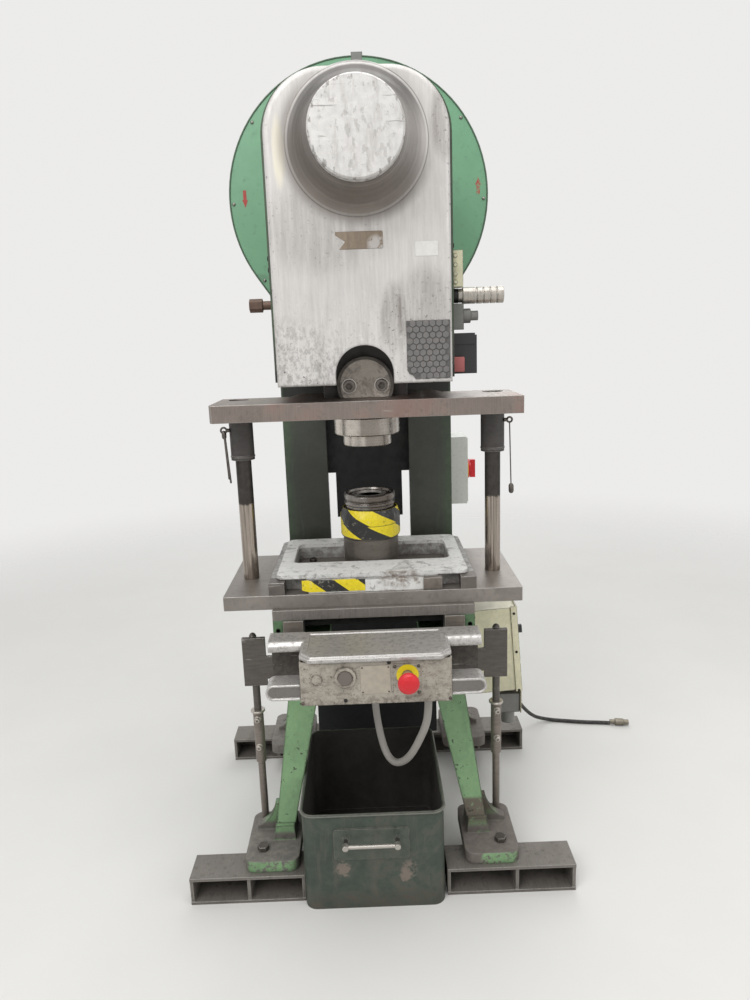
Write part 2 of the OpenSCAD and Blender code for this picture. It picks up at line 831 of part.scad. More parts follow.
// The graduated spindle, with grooves round it and a black collar against the head
module adjusting_spindle() {
    x0 = head_w / 2 + 28;
    color([0.60, 0.59, 0.57]) difference() {
        union() {
            x_rod(head_w / 2, x0 + 2, -150, 1291, 14);
            x_rod(x0, x0 + 85, -150, 1291, 17);
        }
        for (x = [x0 + 27 : 14 : x0 + 69])
            difference() {
                x_rod(x, x + 3, -150, 1291, 18);
                x_rod(x - eps, x + 4, -150, 1291, 15.5);
            }
    }
}

module valve_block() {
    x0 = head_w / 2;
    color([0.52, 0.52, 0.52]) {
        block([x0, -172, 1222], [x0 + 28, -128, 1275]);
        x_rod(x0 + 27, x0 + 44, -150, 1250, 15);
        x_rod(x0 + 43, x0 + 60, -150, 1250, 10);
    }
}

module side_switch_box() {
    x0 = head_w / 2;
    color([0.13, 0.13, 0.14]) {
        block([x0, -178, 1132], [x0 + 54, -112, 1211]);
        block([x0 + 4, -180, 1192], [x0 + 50, -110, 1215]);
    }
}

// The lower posts stand on the feet and reach up into the sleeves
module posts() {
    color([0.22, 0.21, 0.20]) for (s = [-1, 1])
        z_rod(s * post_x, post_y, foot_top, lower_post_top, post_d / 2);
}

module post_sleeves() {
    r = post_d / 2;
    color([0.30, 0.29, 0.28]) for (s = [-1, 1])
        difference() {
            union() {
                z_rod(s * post_x, post_y, sleeve_h[0] - 16, sleeve_h[1], r + sleeve_wall);
                z_rod(s * post_x, post_y, sleeve_h[1] - 3, sleeve_h[1], r + sleeve_wall + 2);
            }
            z_rod(s * post_x, post_y, lower_post_top, sleeve_h[1] + eps, r + running_gap);
            z_rod(s * post_x, post_y, sleeve_h[0] - 17, lower_post_top + eps, r);
        }
}

// The cream switch cabinet, which hangs a little askew on its bracket
module electrical_box() {
    color([0.86, 0.83, 0.66]) {
        translate([box_x[0], 0, box_h[1]]) rotate([0, -box_tilt, 0])
            translate([-box_x[0], 0, -box_h[1]]) {
                block([box_x[0], box_y[0], box_h[0]], [box_x[1] - 3, box_y[1], box_h[1]]);
                block([box_x[1] - 3, box_y[0] - 3, box_h[0] - 3], [box_x[1], box_y[1] + 3, box_h[1] + 3]);
                block([box_x[1] - 16, box_y[0] - 3, box_h[0] - 3], [box_x[1], box_y[0], box_h[1] + 3]);
            }
    }
    color([0.30, 0.30, 0.30])
        block([side_x, box_bracket_y[0], box_bracket_h[0]],
            [box_x[0] + 6, box_bracket_y[1], box_bracket_h[1]]);
}

module main_switch_box() {
    color([0.86, 0.87, 0.85]) {
        block([switch_x[0], switch_y[0], switch_h[0]], [switch_x[1], switch_y[1], switch_h[1]]);
        block([switch_x[1] - 1, switch_y[0] + 4, switch_h[0] + 4],
            [switch_x[1] + 3, switch_y[1] - 4, switch_h[1] - 4]);
    }
}

module main_switch_knob() {
    h = switch_knob_h;
    y = switch_knob_y;
    color([0.78, 0.12, 0.12]) {
        x_rod(switch_x[1] + 3 + slide_gap, switch_x[1] + 10, y, h, 26);
        x_rod(switch_x[1] + 9, switch_x[1] + 14, y, h, 20);
        block([switch_x[1] + 13, y - 7, h - 24], [switch_x[1] + 27, y + 7, h + 24]);
    }
}

module box_knob() {
    color([0.10, 0.10, 0.10]) translate([box_x[0], 0, box_h[1]]) rotate([0, -box_tilt, 0])
        translate([-box_x[0], 0, -box_h[1]]) {
            x_rod(box_x[1] + slide_gap, box_x[1] + 8, knob_y, knob_h, 11);
            block([box_x[1] + 7, knob_y - 4, knob_h - 10], [box_x[1] + 16, knob_y + 4, knob_h + 10]);
        }
}

// The grey air service unit under the cabinet, with its regulator bowl
module air_unit() {
    color([0.46, 0.47, 0.47]) {
        block([side_x + 96, unit_y[0], unit_h[0]], [side_x + 147, unit_y[1], unit_h[1]]);
        block([side_x + 105, unit_y[0] + 16, unit_h[1] - eps],
            [side_x + 133, unit_y[1] - 14, box_h[0] + 4.5]);
        z_rod(side_x + 121, bowl_y, unit_h[0] - 36, unit_h[0] + eps, 18);
        z_rod(side_x + 121, bowl_y, unit_h[0] - 40, unit_h[0] - 35, 8);
        y_rod(side_x + hose_pts[0][0], outlet_h, unit_y[1] - eps, hose_pts[0][1], 10);
    }
}

// The ram, a hollow slide with the ball pocket open at its top
module ram() {
    color([0.30, 0.28, 0.27]) difference() {
        block([-ram_x, ram_front_y, ram_base], [ram_x, ram_y + ram_half_d - slide_gap, ram_top_h]);
        block([-pocket_x, ram_y - pocket_half_d, ball_h - ball_r - ball_gap],
            [pocket_x, ram_y + pocket_half_d, ram_top_h + eps]);
    }
}

// The round clamp cap on the front of the ram, cut flat where it meets the plate
module ram_cap() {
    color([0.24, 0.23, 0.22]) intersection() {
        difference() {
            y_rod(0, ram_cap_h, ram_front_y - ram_cap_t, ram_front_y, ram_cap_r);
            y_rod(0, ram_cap_h, ram_front_y - ram_cap_t - eps, ram_front_y - ram_cap_t + 3, ram_cap_r - 6);
            for (s = [-1, 1])
                y_rod(s * cap_screw_x, cap_screw_h, ram_front_y - ram_cap_t, ram_front_y + eps, 8);
        }
        block([-ram_cap_r - eps, ram_front_y - ram_cap_t - 2, ram_base],
            [ram_cap_r + eps, ram_front_y + eps, 1200]);
    }
}

module ram_cap_screws() {
    y0 = ram_front_y - ram_cap_t + 3;
    color([0.34, 0.33, 0.32]) for (s = [-1, 1])
        difference() {
            union() {
                y_rod(s * cap_screw_x, cap_screw_h, y0 - 15, y0, 12.3);
                y_rod(s * cap_screw_x, cap_screw_h, y0 - eps, ram_front_y, 8);
            }
            translate([s * cap_screw_x, y0 - 6, cap_screw_h]) rotate([90, 0, 0])
                cylinder(h = 12, d = 15, $fn = 6);
        }
}

// The upper die plate, wide at its ears and deeper where the punch sits
module top_die_plate() {
    half = die_plate_w / 2;
    color([0.44, 0.40, 0.38]) difference() {
        translate([0, 0, top_plate_h]) linear_extrude(top_plate_t) polygon([
            [-half + 6, plate_front_y], [half, plate_front_y], [half, ear_back_y],
            [plate_mid_x + 20, ear_back_y], [plate_mid_x, plate_mid_back_y],
            [-plate_mid_x, plate_mid_back_y], [-plate_mid_x - 20, ear_back_y],
            [-half, ear_back_y], [-half, plate_front_y + 12]
        ]);
        for (s = [-1, 1])
            z_rod(s * pillar_span / 2, pillar_y, top_plate_h - eps, ram_base + eps, bush_d / 2 - 3);
    }
}

module guide_bushes() {
    color([0.20, 0.19, 0.19]) for (s = [-1, 1])
        difference() {
            union() {
                z_rod(s * pillar_span / 2, pillar_y, bush_base_h, top_plate_h, bush_d / 2);
                z_rod(s * pillar_span / 2, pillar_y, bush_base_h + 6, bush_base_h + 9, bush_d / 2 + 1);
                z_rod(s * pillar_span / 2, pillar_y, top_plate_h - eps, ram_base - 2, bush_d / 2 - 3);
            }
            z_rod(s * pillar_span / 2, pillar_y, bush_base_h - eps, ram_base, pillar_d / 2 + running_gap);
        }
}

module punch() {
    flange_r = punch_flange_d / 2;
    nose_r = punch_nose_d / 2;
    color([0.58, 0.56, 0.54]) translate([0, ram_y, 0]) rotate_extrude() polygon([
        [0, punch_nose_h], [nose_r - 2, punch_nose_h], [nose_r, punch_nose_h + 2],
        [nose_r, punch_flange_h], [flange_r - 3, punch_flange_h], [flange_r, punch_flange_h + 3],
        [flange_r, top_plate_h - 14], [flange_r - 12, top_plate_h - 12],
        [flange_r - 12, top_plate_h], [0, top_plate_h]
    ]);
}

// The crankshaft, with two webs round its pin, a brake drum and the flywheel seat
module crankshaft() {
    r = journal_d / 2;
    color([0.50, 0.49, 0.47]) {
        y_rod(0, shaft_h, boss_front_y + 2, web_front_y + eps, r);
        y_rod(0, shaft_h, web_front_y, pin_y[0] - 1, web_r);
        y_rod(0, pin_h, pin_y[0] - 2, pin_y[1] + 2, pin_d / 2);
        y_rod(0, shaft_h, pin_y[1] + 1, web_back_y, web_r);
        y_rod(0, shaft_h, web_back_y - eps, frame_back_y + 12, r);
        y_rod(0, shaft_h, brake_y[0], brake_y[1], brake_r);
        y_rod(0, shaft_h, frame_back_y + 11, shaft_end_y, seat_r);
        y_rod(0, shaft_h, shaft_end_y - 10, shaft_end_y, seat_r + 12);
    }
}

// The connecting rod, with a split big end round the crank pin
module connecting_rod() {
    mid = (pin_y[0] + pin_y[1]) / 2;
    outer = pin_d / 2 + 20;
    color([0.42, 0.40, 0.38]) difference() {
        union() {
            y_rod(0, pin_h, pin_y[0], pin_y[1], outer);
            block([-outer - 14, pin_y[0] + 12, pin_h - 20], [outer + 14, pin_y[1] - 12, pin_h + 20]);
            block([-26, mid - 24, ball_h + 80], [26, mid + 24, pin_h - outer + 8]);
            z_rod(0, mid, ball_h + 52, ball_h + 100, 32);
        }
        y_rod(0, pin_h, pin_y[0] - eps, pin_y[1] + eps, pin_d / 2 + running_gap);
        z_rod(0, mid, ball_h + 51, ball_h + 130, 18);
    }
}

module ball_screw() {
    color([0.55, 0.53, 0.50]) translate([0, ram_y, 0]) {
        translate([0, 0, ball_h]) sphere(ball_r);
        z_rod(0, 0, ball_h + 8, ball_h + 128, 17.95);
        translate([0, 0, ball_h + 34]) cylinder(h = 17.5, d = 58, $fn = 6);
    }
}

// The flywheel, with a heavy rim, belt grooves, holes in its web and a hub
module flywheel() {
    r = flywheel_d / 2;
    w = flywheel_w;
    groove = belt_h + 2;
    color([0.25, 0.25, 0.26]) difference() {
        translate([0, flywheel_y + w, shaft_h]) rotate([90, 0, 0]) rotate_extrude() polygon([
            [seat_r + running_gap, 2], [70, 2], [70, w / 2 - 12], [r - 60, w / 2 - 12], [r - 60, 0],
            [r, 0], [r, w - belt_y[1] + flywheel_y - belt_w / 2 - 1],
            [r - groove, w - belt_y[1] + flywheel_y - belt_w / 2 + 1],
            [r - groove, w - belt_y[1] + flywheel_y + belt_w / 2 - 1],
            [r, w - belt_y[1] + flywheel_y + belt_w / 2 + 1],
            [r, w - belt_y[0] + flywheel_y - belt_w / 2 - 1],
            [r - groove, w - belt_y[0] + flywheel_y - belt_w / 2 + 1],
            [r - groove, w - belt_y[0] + flywheel_y + belt_w / 2 - 1],
            [r, w - belt_y[0] + flywheel_y + belt_w / 2 + 1],
            [r, w], [r - 60, w], [r - 60, w / 2 + 12], [70, w / 2 + 12], [70, w - 2],
            [seat_r + running_gap, w - 2]
        ]);
        for (k = [0 : 5])
            rotate_about(60 * k + 30)
                y_rod(0, shaft_h + 160, flywheel_y + 10, flywheel_y + w - 10, 48);
    }
}

// Turns its children about the crankshaft centre
module rotate_about(angle) {
    translate([0, 0, shaft_h]) rotate([0, angle, 0]) translate([0, 0, -shaft_h]) children();
}

module motor_pulley() {
    r = pulley_r;
    y0 = belt_y[0] - belt_w;
    w = belt_y[1] - belt_y[0] + 2 * belt_w;
    groove = belt_h + 2;
    color([0.30, 0.30, 0.31]) {
        translate([0, y0 + w, motor_h]) rotate([90, 0, 0]) rotate_extrude() polygon([
            [0, 0], [r, 0], [r, belt_w / 2 - 1], [r - groove, belt_w / 2 + 1],
            [r - groove, belt_w * 1.5 - 1], [r, belt_w * 1.5 + 1],
            [r, w - belt_w * 1.5 - 1], [r - groove, w - belt_w * 1.5 + 1],
            [r - groove, w - belt_w / 2 - 1], [r, w - belt_w / 2 + 1], [r, w], [0, w]
        ]);
        y_rod(0, motor_h, motor_y[1] + slide_gap, y0 + eps, 14);
    }
}

// The outline of one belt, round the flywheel and the motor pulley
module belt_profile(grow) {
    keyhole(flywheel_d / 2 + grow, pulley_r + grow);
}

module drive_belts() {
    color([0.08, 0.08, 0.08]) for (y = belt_y)
        difference() {
            y_plate(y - belt_w / 2 + 1.5, y + belt_w / 2 - 1.5) belt_profile(-1);
            y_plate(y - belt_w, y + belt_w) belt_profile(-belt_h - 1);
        }
}

// The welded bracket that carries the console: posts, shields, crossbar and arms
module console_bracket() {
    back = post_y - post_d / 2;
    color([0.27, 0.25, 0.24]) {
        for (s = [-1, 1]) {
            z_rod(s * post_x, post_y, upper_post_base, upper_post_top, post_d / 2);
            translate([s * post_x, post_y, upper_post_top]) scale(1) sphere(post_d / 2 - 1);
        }
        both_sides() {
            block([shield_x[0], back - bracket_t, shield_h[0]],
                [shield_x[1], back + 2, shield_h[1]]);
            block([60, console_back_y, crossbar_h[1] - 22], [84, back - bracket_t + 1, crossbar_h[1] + 20]);
        }
        block([-shield_x[0] - 1, back - bracket_t, crossbar_h[0]],
            [shield_x[0] + 1, back, crossbar_h[1]]);
        block([-24, back - 60, crossbar_h[1] - 30], [16, back - bracket_t + 1, crossbar_h[1] + 20]);
        z_rod(-4, -217, crossbar_h[1] - 44.5, crossbar_h[1] - 29, conduit_r + 4);
    }
}

// The console housing, with openings for its buttons and the conduit gland below
module console_body() {
    half = console_w / 2;
    color([0.62, 0.59, 0.54]) {
        difference() {
            translate([0, 0, console_base_h]) linear_extrude(console_h)
                round_rect(-half, half, console_front_y, console_back_y, 4);
            block([-half + 3, console_front_y + 3, console_base_h + 3],
                [half - 3, console_back_y - 3, console_top_h + eps]);
            y_rod(button_x, button_h, console_front_y - eps, console_front_y + 5, button_r - 5.5);
            y_rod(estop_x, button_h, console_front_y - eps, console_front_y + 5, 10.5);
        }
        z_rod(104, -375, console_base_h - 13.5, console_base_h + 4, conduit_r + 4);
        difference() {
            y_rod(button_x, button_h, console_front_y - 6, console_front_y + eps, button_r + 1);
            y_rod(button_x, button_h, console_front_y - 7, console_front_y + 2, button_r - 5.5);
        }
        both_sides()
            block([half - eps, console_back_y - 12, pad_h[0]],
                [arm_x - 2, console_back_y - 4, cover_top_h - arm_t - slide_gap]);
    }
}

// The outline of the cover, with its bumper in front
module cover_outline(grow) {
    x = console_w / 2 - 2 + grow;
    front = console_front_y - 6 - grow;
    polygon([
        [-x, console_back_y + 2 + grow], [-x, front + 20], [-x + 18, front], [x - 18, front],
        [x, front + 20], [x, console_back_y + 2 + grow]
    ]);
}

// One arm of the cover, with a round front edge, over a hand pad
module cover_arm() {
    half = console_w / 2;
    r = arm_t / 2 + 4;
    h0 = cover_top_h - arm_t;
    difference() {
        union() {
            block([half - 4, arm_y[0] + r, h0], [arm_x, arm_y[1] + 2, cover_top_h]);
            block([half - 4, arm_y[0], h0 + 5], [arm_x, arm_y[0] + r + eps, cover_top_h - r]);
            x_rod(half - 4, arm_x, arm_y[0] + r, cover_top_h - r, r);
        }
        block([half - 10, arm_y[0] - eps, h0 - r], [half, arm_y[1] + 3, console_top_h]);
        block([half - 10, arm_y[0] - eps, h0 - r], [arm_x + eps, arm_y[0] + 2 * r + eps, h0]);
    }
}

// The cast console cover, with a bumper lip in front, a sunk panel and an arm over each hand pad
module console_cover() {
    color([0.78, 0.78, 0.77]) {
        difference() {
            union() {
                translate([0, 0, console_top_h]) linear_extrude(cover_t - 3) cover_outline(0);
                translate([0, 0, console_top_h + 2]) linear_extrude(cover_t - 5) cover_outline(2);
                translate([0, 0, cover_top_h - 3 - eps]) linear_extrude(3 + eps) cover_outline(-2);
            }
            translate([0, 0, cover_top_h - 2]) linear_extrude(3) cover_outline(-13);
        }
        both_sides() cover_arm();
    }
}

module start_button() {
    color([0.35, 0.34, 0.33]) {
        y_rod(button_x, button_h, console_front_y - 9, console_front_y + 14, button_r - 6);
        y_rod(button_x, button_h, console_front_y - 10, console_front_y - 8, button_r - 7);
    }
}

module estop_ring() {
    color([0.90, 0.78, 0.12]) {
        difference() {
            y_rod(estop_x, button_h, console_front_y - 2, console_front_y, 21.5);
            y_rod(estop_x, button_h, console_front_y - 3, console_front_y + 1, 10.5);
        }
    }
}

// The emergency stop, a mushroom head on a stem
module estop_button() {
    color([0.80, 0.12, 0.12]) translate([estop_x, console_front_y, button_h]) rotate([90, 0, 0])
        rotate_extrude() polygon([
            [0, -14], [10, -14], [10, 18], [13, 20], [13, 30], [estop_d / 2 - 1, 33],
            [estop_d / 2, 36], [estop_d / 2, 42], [estop_d / 2 - 3, 46], [estop_d / 2 - 9, 49],
            [0, 50]
        ]);
}

// A palm pad with a round end, pushed down by the hand
module hand_pad() {
    mid = (pad_h[0] + pad_h[1]) / 2;
    r = (pad_h[1] - pad_h[0]) / 2;
    x0 = console_w / 2 + slide_gap;
    color([0.55, 0.54, 0.53]) difference() {
        pad_block(x0, pad_y[0], pad_y[1], mid, r);
        pad_block(x0 - eps, pad_y[0] - eps, pad_y[0] + 2, mid, r - 3.5);
    }
}

// A block along Y with one round end
module pad_block(x0, y0, y1, mid, r) {
    x1 = arm_x - (pad_h[1] - pad_h[0]) / 2;
    block([x0, y0, mid - r], [x1, y1, mid + r]);
    y_rod(x1, mid, y0, y1, r);
}

module right_hand_pad() {
    hand_pad();
}

module left_hand_pad() {
    mirror([1, 0, 0]) hand_pad();
}

module conduit() {
    color([0.45, 0.44, 0.43]) tube(conduit_pts, conduit_r, 10);
}

module air_hose() {
    color([0.10, 0.10, 0.10]) translate([side_x, 0, 0]) tube(hose_pts, hose_r, 8);
}

// The quick coupling on the free end of the air hose
module hose_coupling() {
    a = hose_pts[len(hose_pts) - 1];
    turn = atan2(coupling_end[1] - a[1], coupling_end[0] - a[0]);
    color([0.55, 0.50, 0.42]) translate([side_x + a[0], a[1], coupling_end[2]])
        rotate([0, 0, turn]) rotate([0, 90, 0])
        rotate_extrude() polygon([
            [0, 0], [7, 0], [7, 14], [10.5, 16], [10.5, 40], [8, 42], [8, 56], [0, 56]
        ]);
}

front_skids();
rear_skid();
left_leg();
right_leg();
foot_bolts();
scrap_bin();
frame();
bolster();
lower_die_plate();
guide_pillars();
die_body();
die_ring();
locating_frame();
frame_clamps();
front_casting();
front_cap();
bearing_bushes();
ram_gibs();
grip_pad();
brake_band();
guard_front();
guard_cover();
lifting_block();
motor();
motor_bracket();
oil_pipe();
side_block();
adjusting_spindle();
valve_block();
side_switch_box();
posts();
post_sleeves();
electrical_box();
main_switch_box();
air_unit();
ram();
ram_cap();
ram_cap_screws();
top_die_plate();
guide_bushes();
punch();
crankshaft();
connecting_rod();
ball_screw();
flywheel();
motor_pulley();
drive_belts();
console_bracket();
console_body();
console_cover();
start_button();
estop_button();
estop_ring();
left_hand_pad();
right_hand_pad();
main_switch_knob();
box_knob();
conduit();
air_hose();
hose_coupling();
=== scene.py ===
"""Dresses the stamping press: its paints, metals, tapes, screws, cords and small fittings."""

import math
import random

import bmesh
import bpy
from mathutils import Matrix, Vector, noise


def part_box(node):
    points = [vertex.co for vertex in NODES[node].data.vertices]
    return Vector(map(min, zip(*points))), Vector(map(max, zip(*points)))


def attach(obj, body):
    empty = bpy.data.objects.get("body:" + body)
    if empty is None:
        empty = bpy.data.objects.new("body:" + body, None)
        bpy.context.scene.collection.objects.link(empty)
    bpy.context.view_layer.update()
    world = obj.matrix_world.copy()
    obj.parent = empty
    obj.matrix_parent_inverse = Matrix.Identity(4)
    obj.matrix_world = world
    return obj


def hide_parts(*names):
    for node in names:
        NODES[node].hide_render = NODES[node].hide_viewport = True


bl_info = {
    "name": "Stamping press",
    "version": (1, 0, 0),
    "blender": (4, 5, 0),
    "location": "View3D > Sidebar > Press",
    "description": "Builds the finish and the small fittings of a gap-frame stamping press",
    "category": "Object",
}

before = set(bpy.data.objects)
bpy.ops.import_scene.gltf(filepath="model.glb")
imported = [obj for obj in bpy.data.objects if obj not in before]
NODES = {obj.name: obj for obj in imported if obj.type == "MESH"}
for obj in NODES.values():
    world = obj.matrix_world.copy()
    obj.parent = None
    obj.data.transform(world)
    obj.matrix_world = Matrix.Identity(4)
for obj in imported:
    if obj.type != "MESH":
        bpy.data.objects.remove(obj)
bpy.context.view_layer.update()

# Boxes, heights and places that the solid model gives
SHAFT_Z = (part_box("front_cap")[0].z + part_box("front_cap")[1].z) / 2
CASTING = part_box("front_casting")
HEAD_FRONT_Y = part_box("grip_pad")[1].y
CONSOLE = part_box("console_body")
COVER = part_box("console_cover")
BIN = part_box("scrap_bin")
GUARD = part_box("guard_front")
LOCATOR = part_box("locating_frame")
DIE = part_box("die_body")
DIE_Y = (DIE[0].y + DIE[1].y) / 2
# The ways that fittings face
FRONT, BACK, LEFT, RIGHT, UP = (0, -1, 0), (0, 1, 0), (-1, 0, 0), (1, 0, 0), (0, 0, 1)


def tint(red, green, blue):
    """A colour given as it looks on a screen, from 0 to 255, as the linear colour a shader takes."""
    seen = [c / 255 for c in (red, green, blue)]
    return tuple(c / 12.92 if c <= 0.04045 else ((c + 0.055) / 1.055) ** 2.4 for c in seen)


def colour_prop(name, about, *rgb):
    return bpy.props.FloatVectorProperty(
        name=name, description=about, size=3, subtype="COLOR", min=0, max=1, default=tint(*rgb)
    )


def length_prop(name, about, metres):
    return bpy.props.FloatProperty(
        name=name, description=about, default=metres, min=0, unit="LENGTH", precision=4
    )


class PRESS_PG_colours(bpy.types.PropertyGroup):
    guard_green: colour_prop("Guard green", "Paint of the belt guard", 116, 164, 130)
    leg_green: colour_prop("Leg green", "Paint of the legs", 128, 164, 120)
    frame_green: colour_prop("Frame green", "Old dark paint of the frame casting", 66, 69, 62)
    bin_green: colour_prop("Bin green", "Paint of the scrap bin", 66, 78, 68)
    silver: colour_prop("Silver", "Worn silver paint of the front casting", 214, 211, 208)
    steel: colour_prop("Steel", "Machined steel of the die plates", 138, 128, 121)
    dark_steel: colour_prop("Dark steel", "Dusty steel of skids and brackets", 96, 91, 86)
    iron: colour_prop("Iron", "Oily iron of the ram", 84, 80, 78)
    white: colour_prop("White", "Paint of the locating frame", 236, 236, 233)
    cream: colour_prop("Cream", "Paint of the switch cabinet", 252, 246, 214)
    console: colour_prop("Console grey", "Dirty paint of the console housing", 176, 169, 157)
    hazard_yellow: colour_prop("Hazard yellow", "Yellow of the hazard tape", 244, 222, 34)
    stop_red: colour_prop("Stop red", "Red of the emergency stop", 214, 34, 44)
    floor: colour_prop("Floor", "Pale studio floor", 226, 225, 222)


class PRESS_PG_sizes(bpy.types.PropertyGroup):
    camera_height: length_prop("Camera height", "Height of the lens above the floor", 1.220)
    camera_back: length_prop("Camera distance", "Distance of the lens before the press's middle", 1.770)
    guard_screw: length_prop("Guard screw", "Diameter of the screws round the belt guard", 0.0095)
    small_screw: length_prop("Small screw", "Diameter of the screws of boxes and plates", 0.007)
    set_screw: length_prop("Set screw", "Diameter of the clamp screws of the post sleeves", 0.012)
    tape_thickness: length_prop("Tape thickness", "Thickness of the hazard tape", 0.0006)
    conduit_d: length_prop("Conduit", "Diameter of the grey conduit", 0.016)
    hose_d: length_prop("Air hose", "Diameter of the air hose", 0.011)
    hexagon: length_prop("Hexagon", "Distance between the hexagons of the grip pad", 0.0128)


def colours():
    return bpy.context.scene.press_colours


def sizes():
    return bpy.context.scene.press_sizes


class Value:
    """A socket of a shader tree. Arithmetic on values adds Math nodes to the tree."""

    def __init__(self, surface, socket):
        self.surface = surface
        self.socket = socket

    def math(self, operation, *others):
        return self.surface.node("Math", {"operation": operation}, self, *others)

    def __add__(self, other):
        return self.math("ADD", other)

    def __sub__(self, other):
        return self.math("SUBTRACT", other)

    def __mul__(self, other):
        return self.math("MULTIPLY", other)

    def __truediv__(self, other):
        return self.math("DIVIDE", other)

    def __abs__(self):
        return self.math("ABSOLUTE")

    def __rsub__(self, other):
        return self.surface.node("Math", {"operation": "SUBTRACT"}, other, self)

    __radd__ = __add__
    __rmul__ = __mul__

    def step(self, low, high, start=0.0, end=1.0):
        """A smooth ramp from start to end while this value goes from low to high."""
        return self.surface.node(
            "MapRange", {"interpolation_type": "SMOOTHSTEP", "clamp": True}, self, low, high, start, end
        )

    def shade(self, low, high):
        """A noise's middle stretched between two values, to lighten and darken with."""
        return self.step(0.3, 0.7, low, high)

    def limit(self):
        """The value held between 0 and 1."""
        return self.surface.node("Clamp", {}, self)

    def most(self, other):
        return self.math("MAXIMUM", other)


class Surface:
    """A material in the making, with the patterns that this press's finishes share."""

    def __init__(self, name, radius=None):
        """The edges look rounded by a radius in metres, where one is given."""
        self.material = bpy.data.materials.new(name)
        self.material.use_nodes = True
        self.tree = self.material.node_tree
        self.shader = self.tree.nodes["Principled BSDF"]
        self.at = self.place()
        self.soft = self.rounded(radius) if radius else None

    def node(self, kind, settings, *inputs, out=0, **named):
        made = self.tree.nodes.new("ShaderNode" + kind)
        for key, value in settings.items():
            setattr(made, key, value)
        for key, value in [*enumerate(inputs), *named.items()]:
            self.put(made.inputs[key.replace("_", " ") if isinstance(key, str) else key], value)
        return Value(self, made.outputs[out])

    def put(self, socket, value):
        if isinstance(value, Value):
            self.tree.links.new(value.socket, socket)
        elif value is not None:
            if hasattr(value, "__len__") and len(value) == 3 and len(socket.default_value) == 4:
                value = (*value, 1)
            socket.default_value = value

    def place(self, stretch=(1, 1, 1), turn=(0, 0, 0)):
        """Object coordinates, stretched so that a pattern is finer along an axis with a larger number."""
        at = self.node("TexCoord", {}, out="Object")
        return self.node("Mapping", {}, at, None, turn, stretch)

    def parts(self, vector):
        return [self.node("SeparateXYZ", {}, vector, out=i) for i in range(3)]

    def facing(self):
        return self.parts(self.node("NewGeometry", {}, out="Normal"))

    def noise(self, scale, detail=4.0, rough=0.55, warp=0.0, at=None, **place):
        """Noise on the piece, or at a given vector, or on a stretched and turned place."""
        if at is None:
            at = self.place(**place) if place else self.at
        return self.node(
            "TexNoise", {}, Vector=at, Scale=scale, Detail=detail, Roughness=rough, Distortion=warp
        )

    def mix(self, share, first, second, blend="MIX"):
        made = self.tree.nodes.new("ShaderNodeMix")
        made.data_type = "RGBA"
        made.blend_type = blend
        for key, value in ((0, share), (6, first), (7, second)):
            self.put(made.inputs[key], value)
        return Value(self, made.outputs[2])

    def tone(self, colour, factor):
        """A colour made lighter or darker by a value round 1."""
        return self.mix(1.0, colour, self.node("CombineColor", {}, factor, factor, factor), "MULTIPLY")

    def coats(self, base, **coats):
        """Lays named coats over a colour, each a mask and the colour that shows where the mask is 1."""
        for name, (mask, colour) in coats.items():
            base = self.mix(mask, base, colour)
            base.socket.node.label = name.replace("_", " ")
        return base

    def reach(self, across, along):
        """The distance from a line, from two distances measured square to it."""
        both = self.node("CombineXYZ", {}, across, along, 0.0)
        return self.node("VectorMath", {"operation": "LENGTH"}, both, out="Value")

    def patch(self, a, b, centre, size):
        """1 inside an oval patch of the plane of a and b, fading to 0 at its edge."""
        across = (a - centre[0]) / size[0]
        along = (b - centre[1]) / size[1]
        return (across * across + along * along).step(1.0, 0.25)

    def rounded(self, radius):
        made = self.tree.nodes.new("ShaderNodeBevel")
        made.samples = 4
        made.inputs[0].default_value = radius
        return Value(self, made.outputs[0])

    def edge(self):
        """1 on a sharp edge, 0 on a flat face."""
        flat = self.node("NewGeometry", {}, out="Normal")
        same = self.node("VectorMath", {"operation": "DOT_PRODUCT"}, self.soft, flat, out="Value")
        return (1 - same).step(0.005, 0.12)

    def corner_shade(self, reach):
        """1 deep in a corner, 0 in the open, by ambient occlusion: the darkening laid with it is painted
        shade.
        """
        made = self.tree.nodes.new("ShaderNodeAmbientOcclusion")
        made.samples = 4
        made.inputs["Distance"].default_value = reach
        return (1 - Value(self, made.outputs["AO"])).step(0.25, 0.95)

    def finish(self, colour, rough, metal=0.0, height=None, bump=0.3, depth=0.001, **fixed):
        """Ends the material. height is what the bump follows, bump its strength and depth its metres."""
        if isinstance(rough, Value):
            rough = rough.limit()
        inputs = self.shader.inputs
        for key, value in {"Base Color": colour, "Roughness": rough, "Metallic": metal, **fixed}.items():
            self.put(inputs[key], value)
        normal = self.soft
        if height is not None:
            normal = self.node("Bump", {}, Strength=bump, Distance=depth, Height=height, Normal=self.soft)
        self.put(inputs["Normal"], normal)
        return self.material


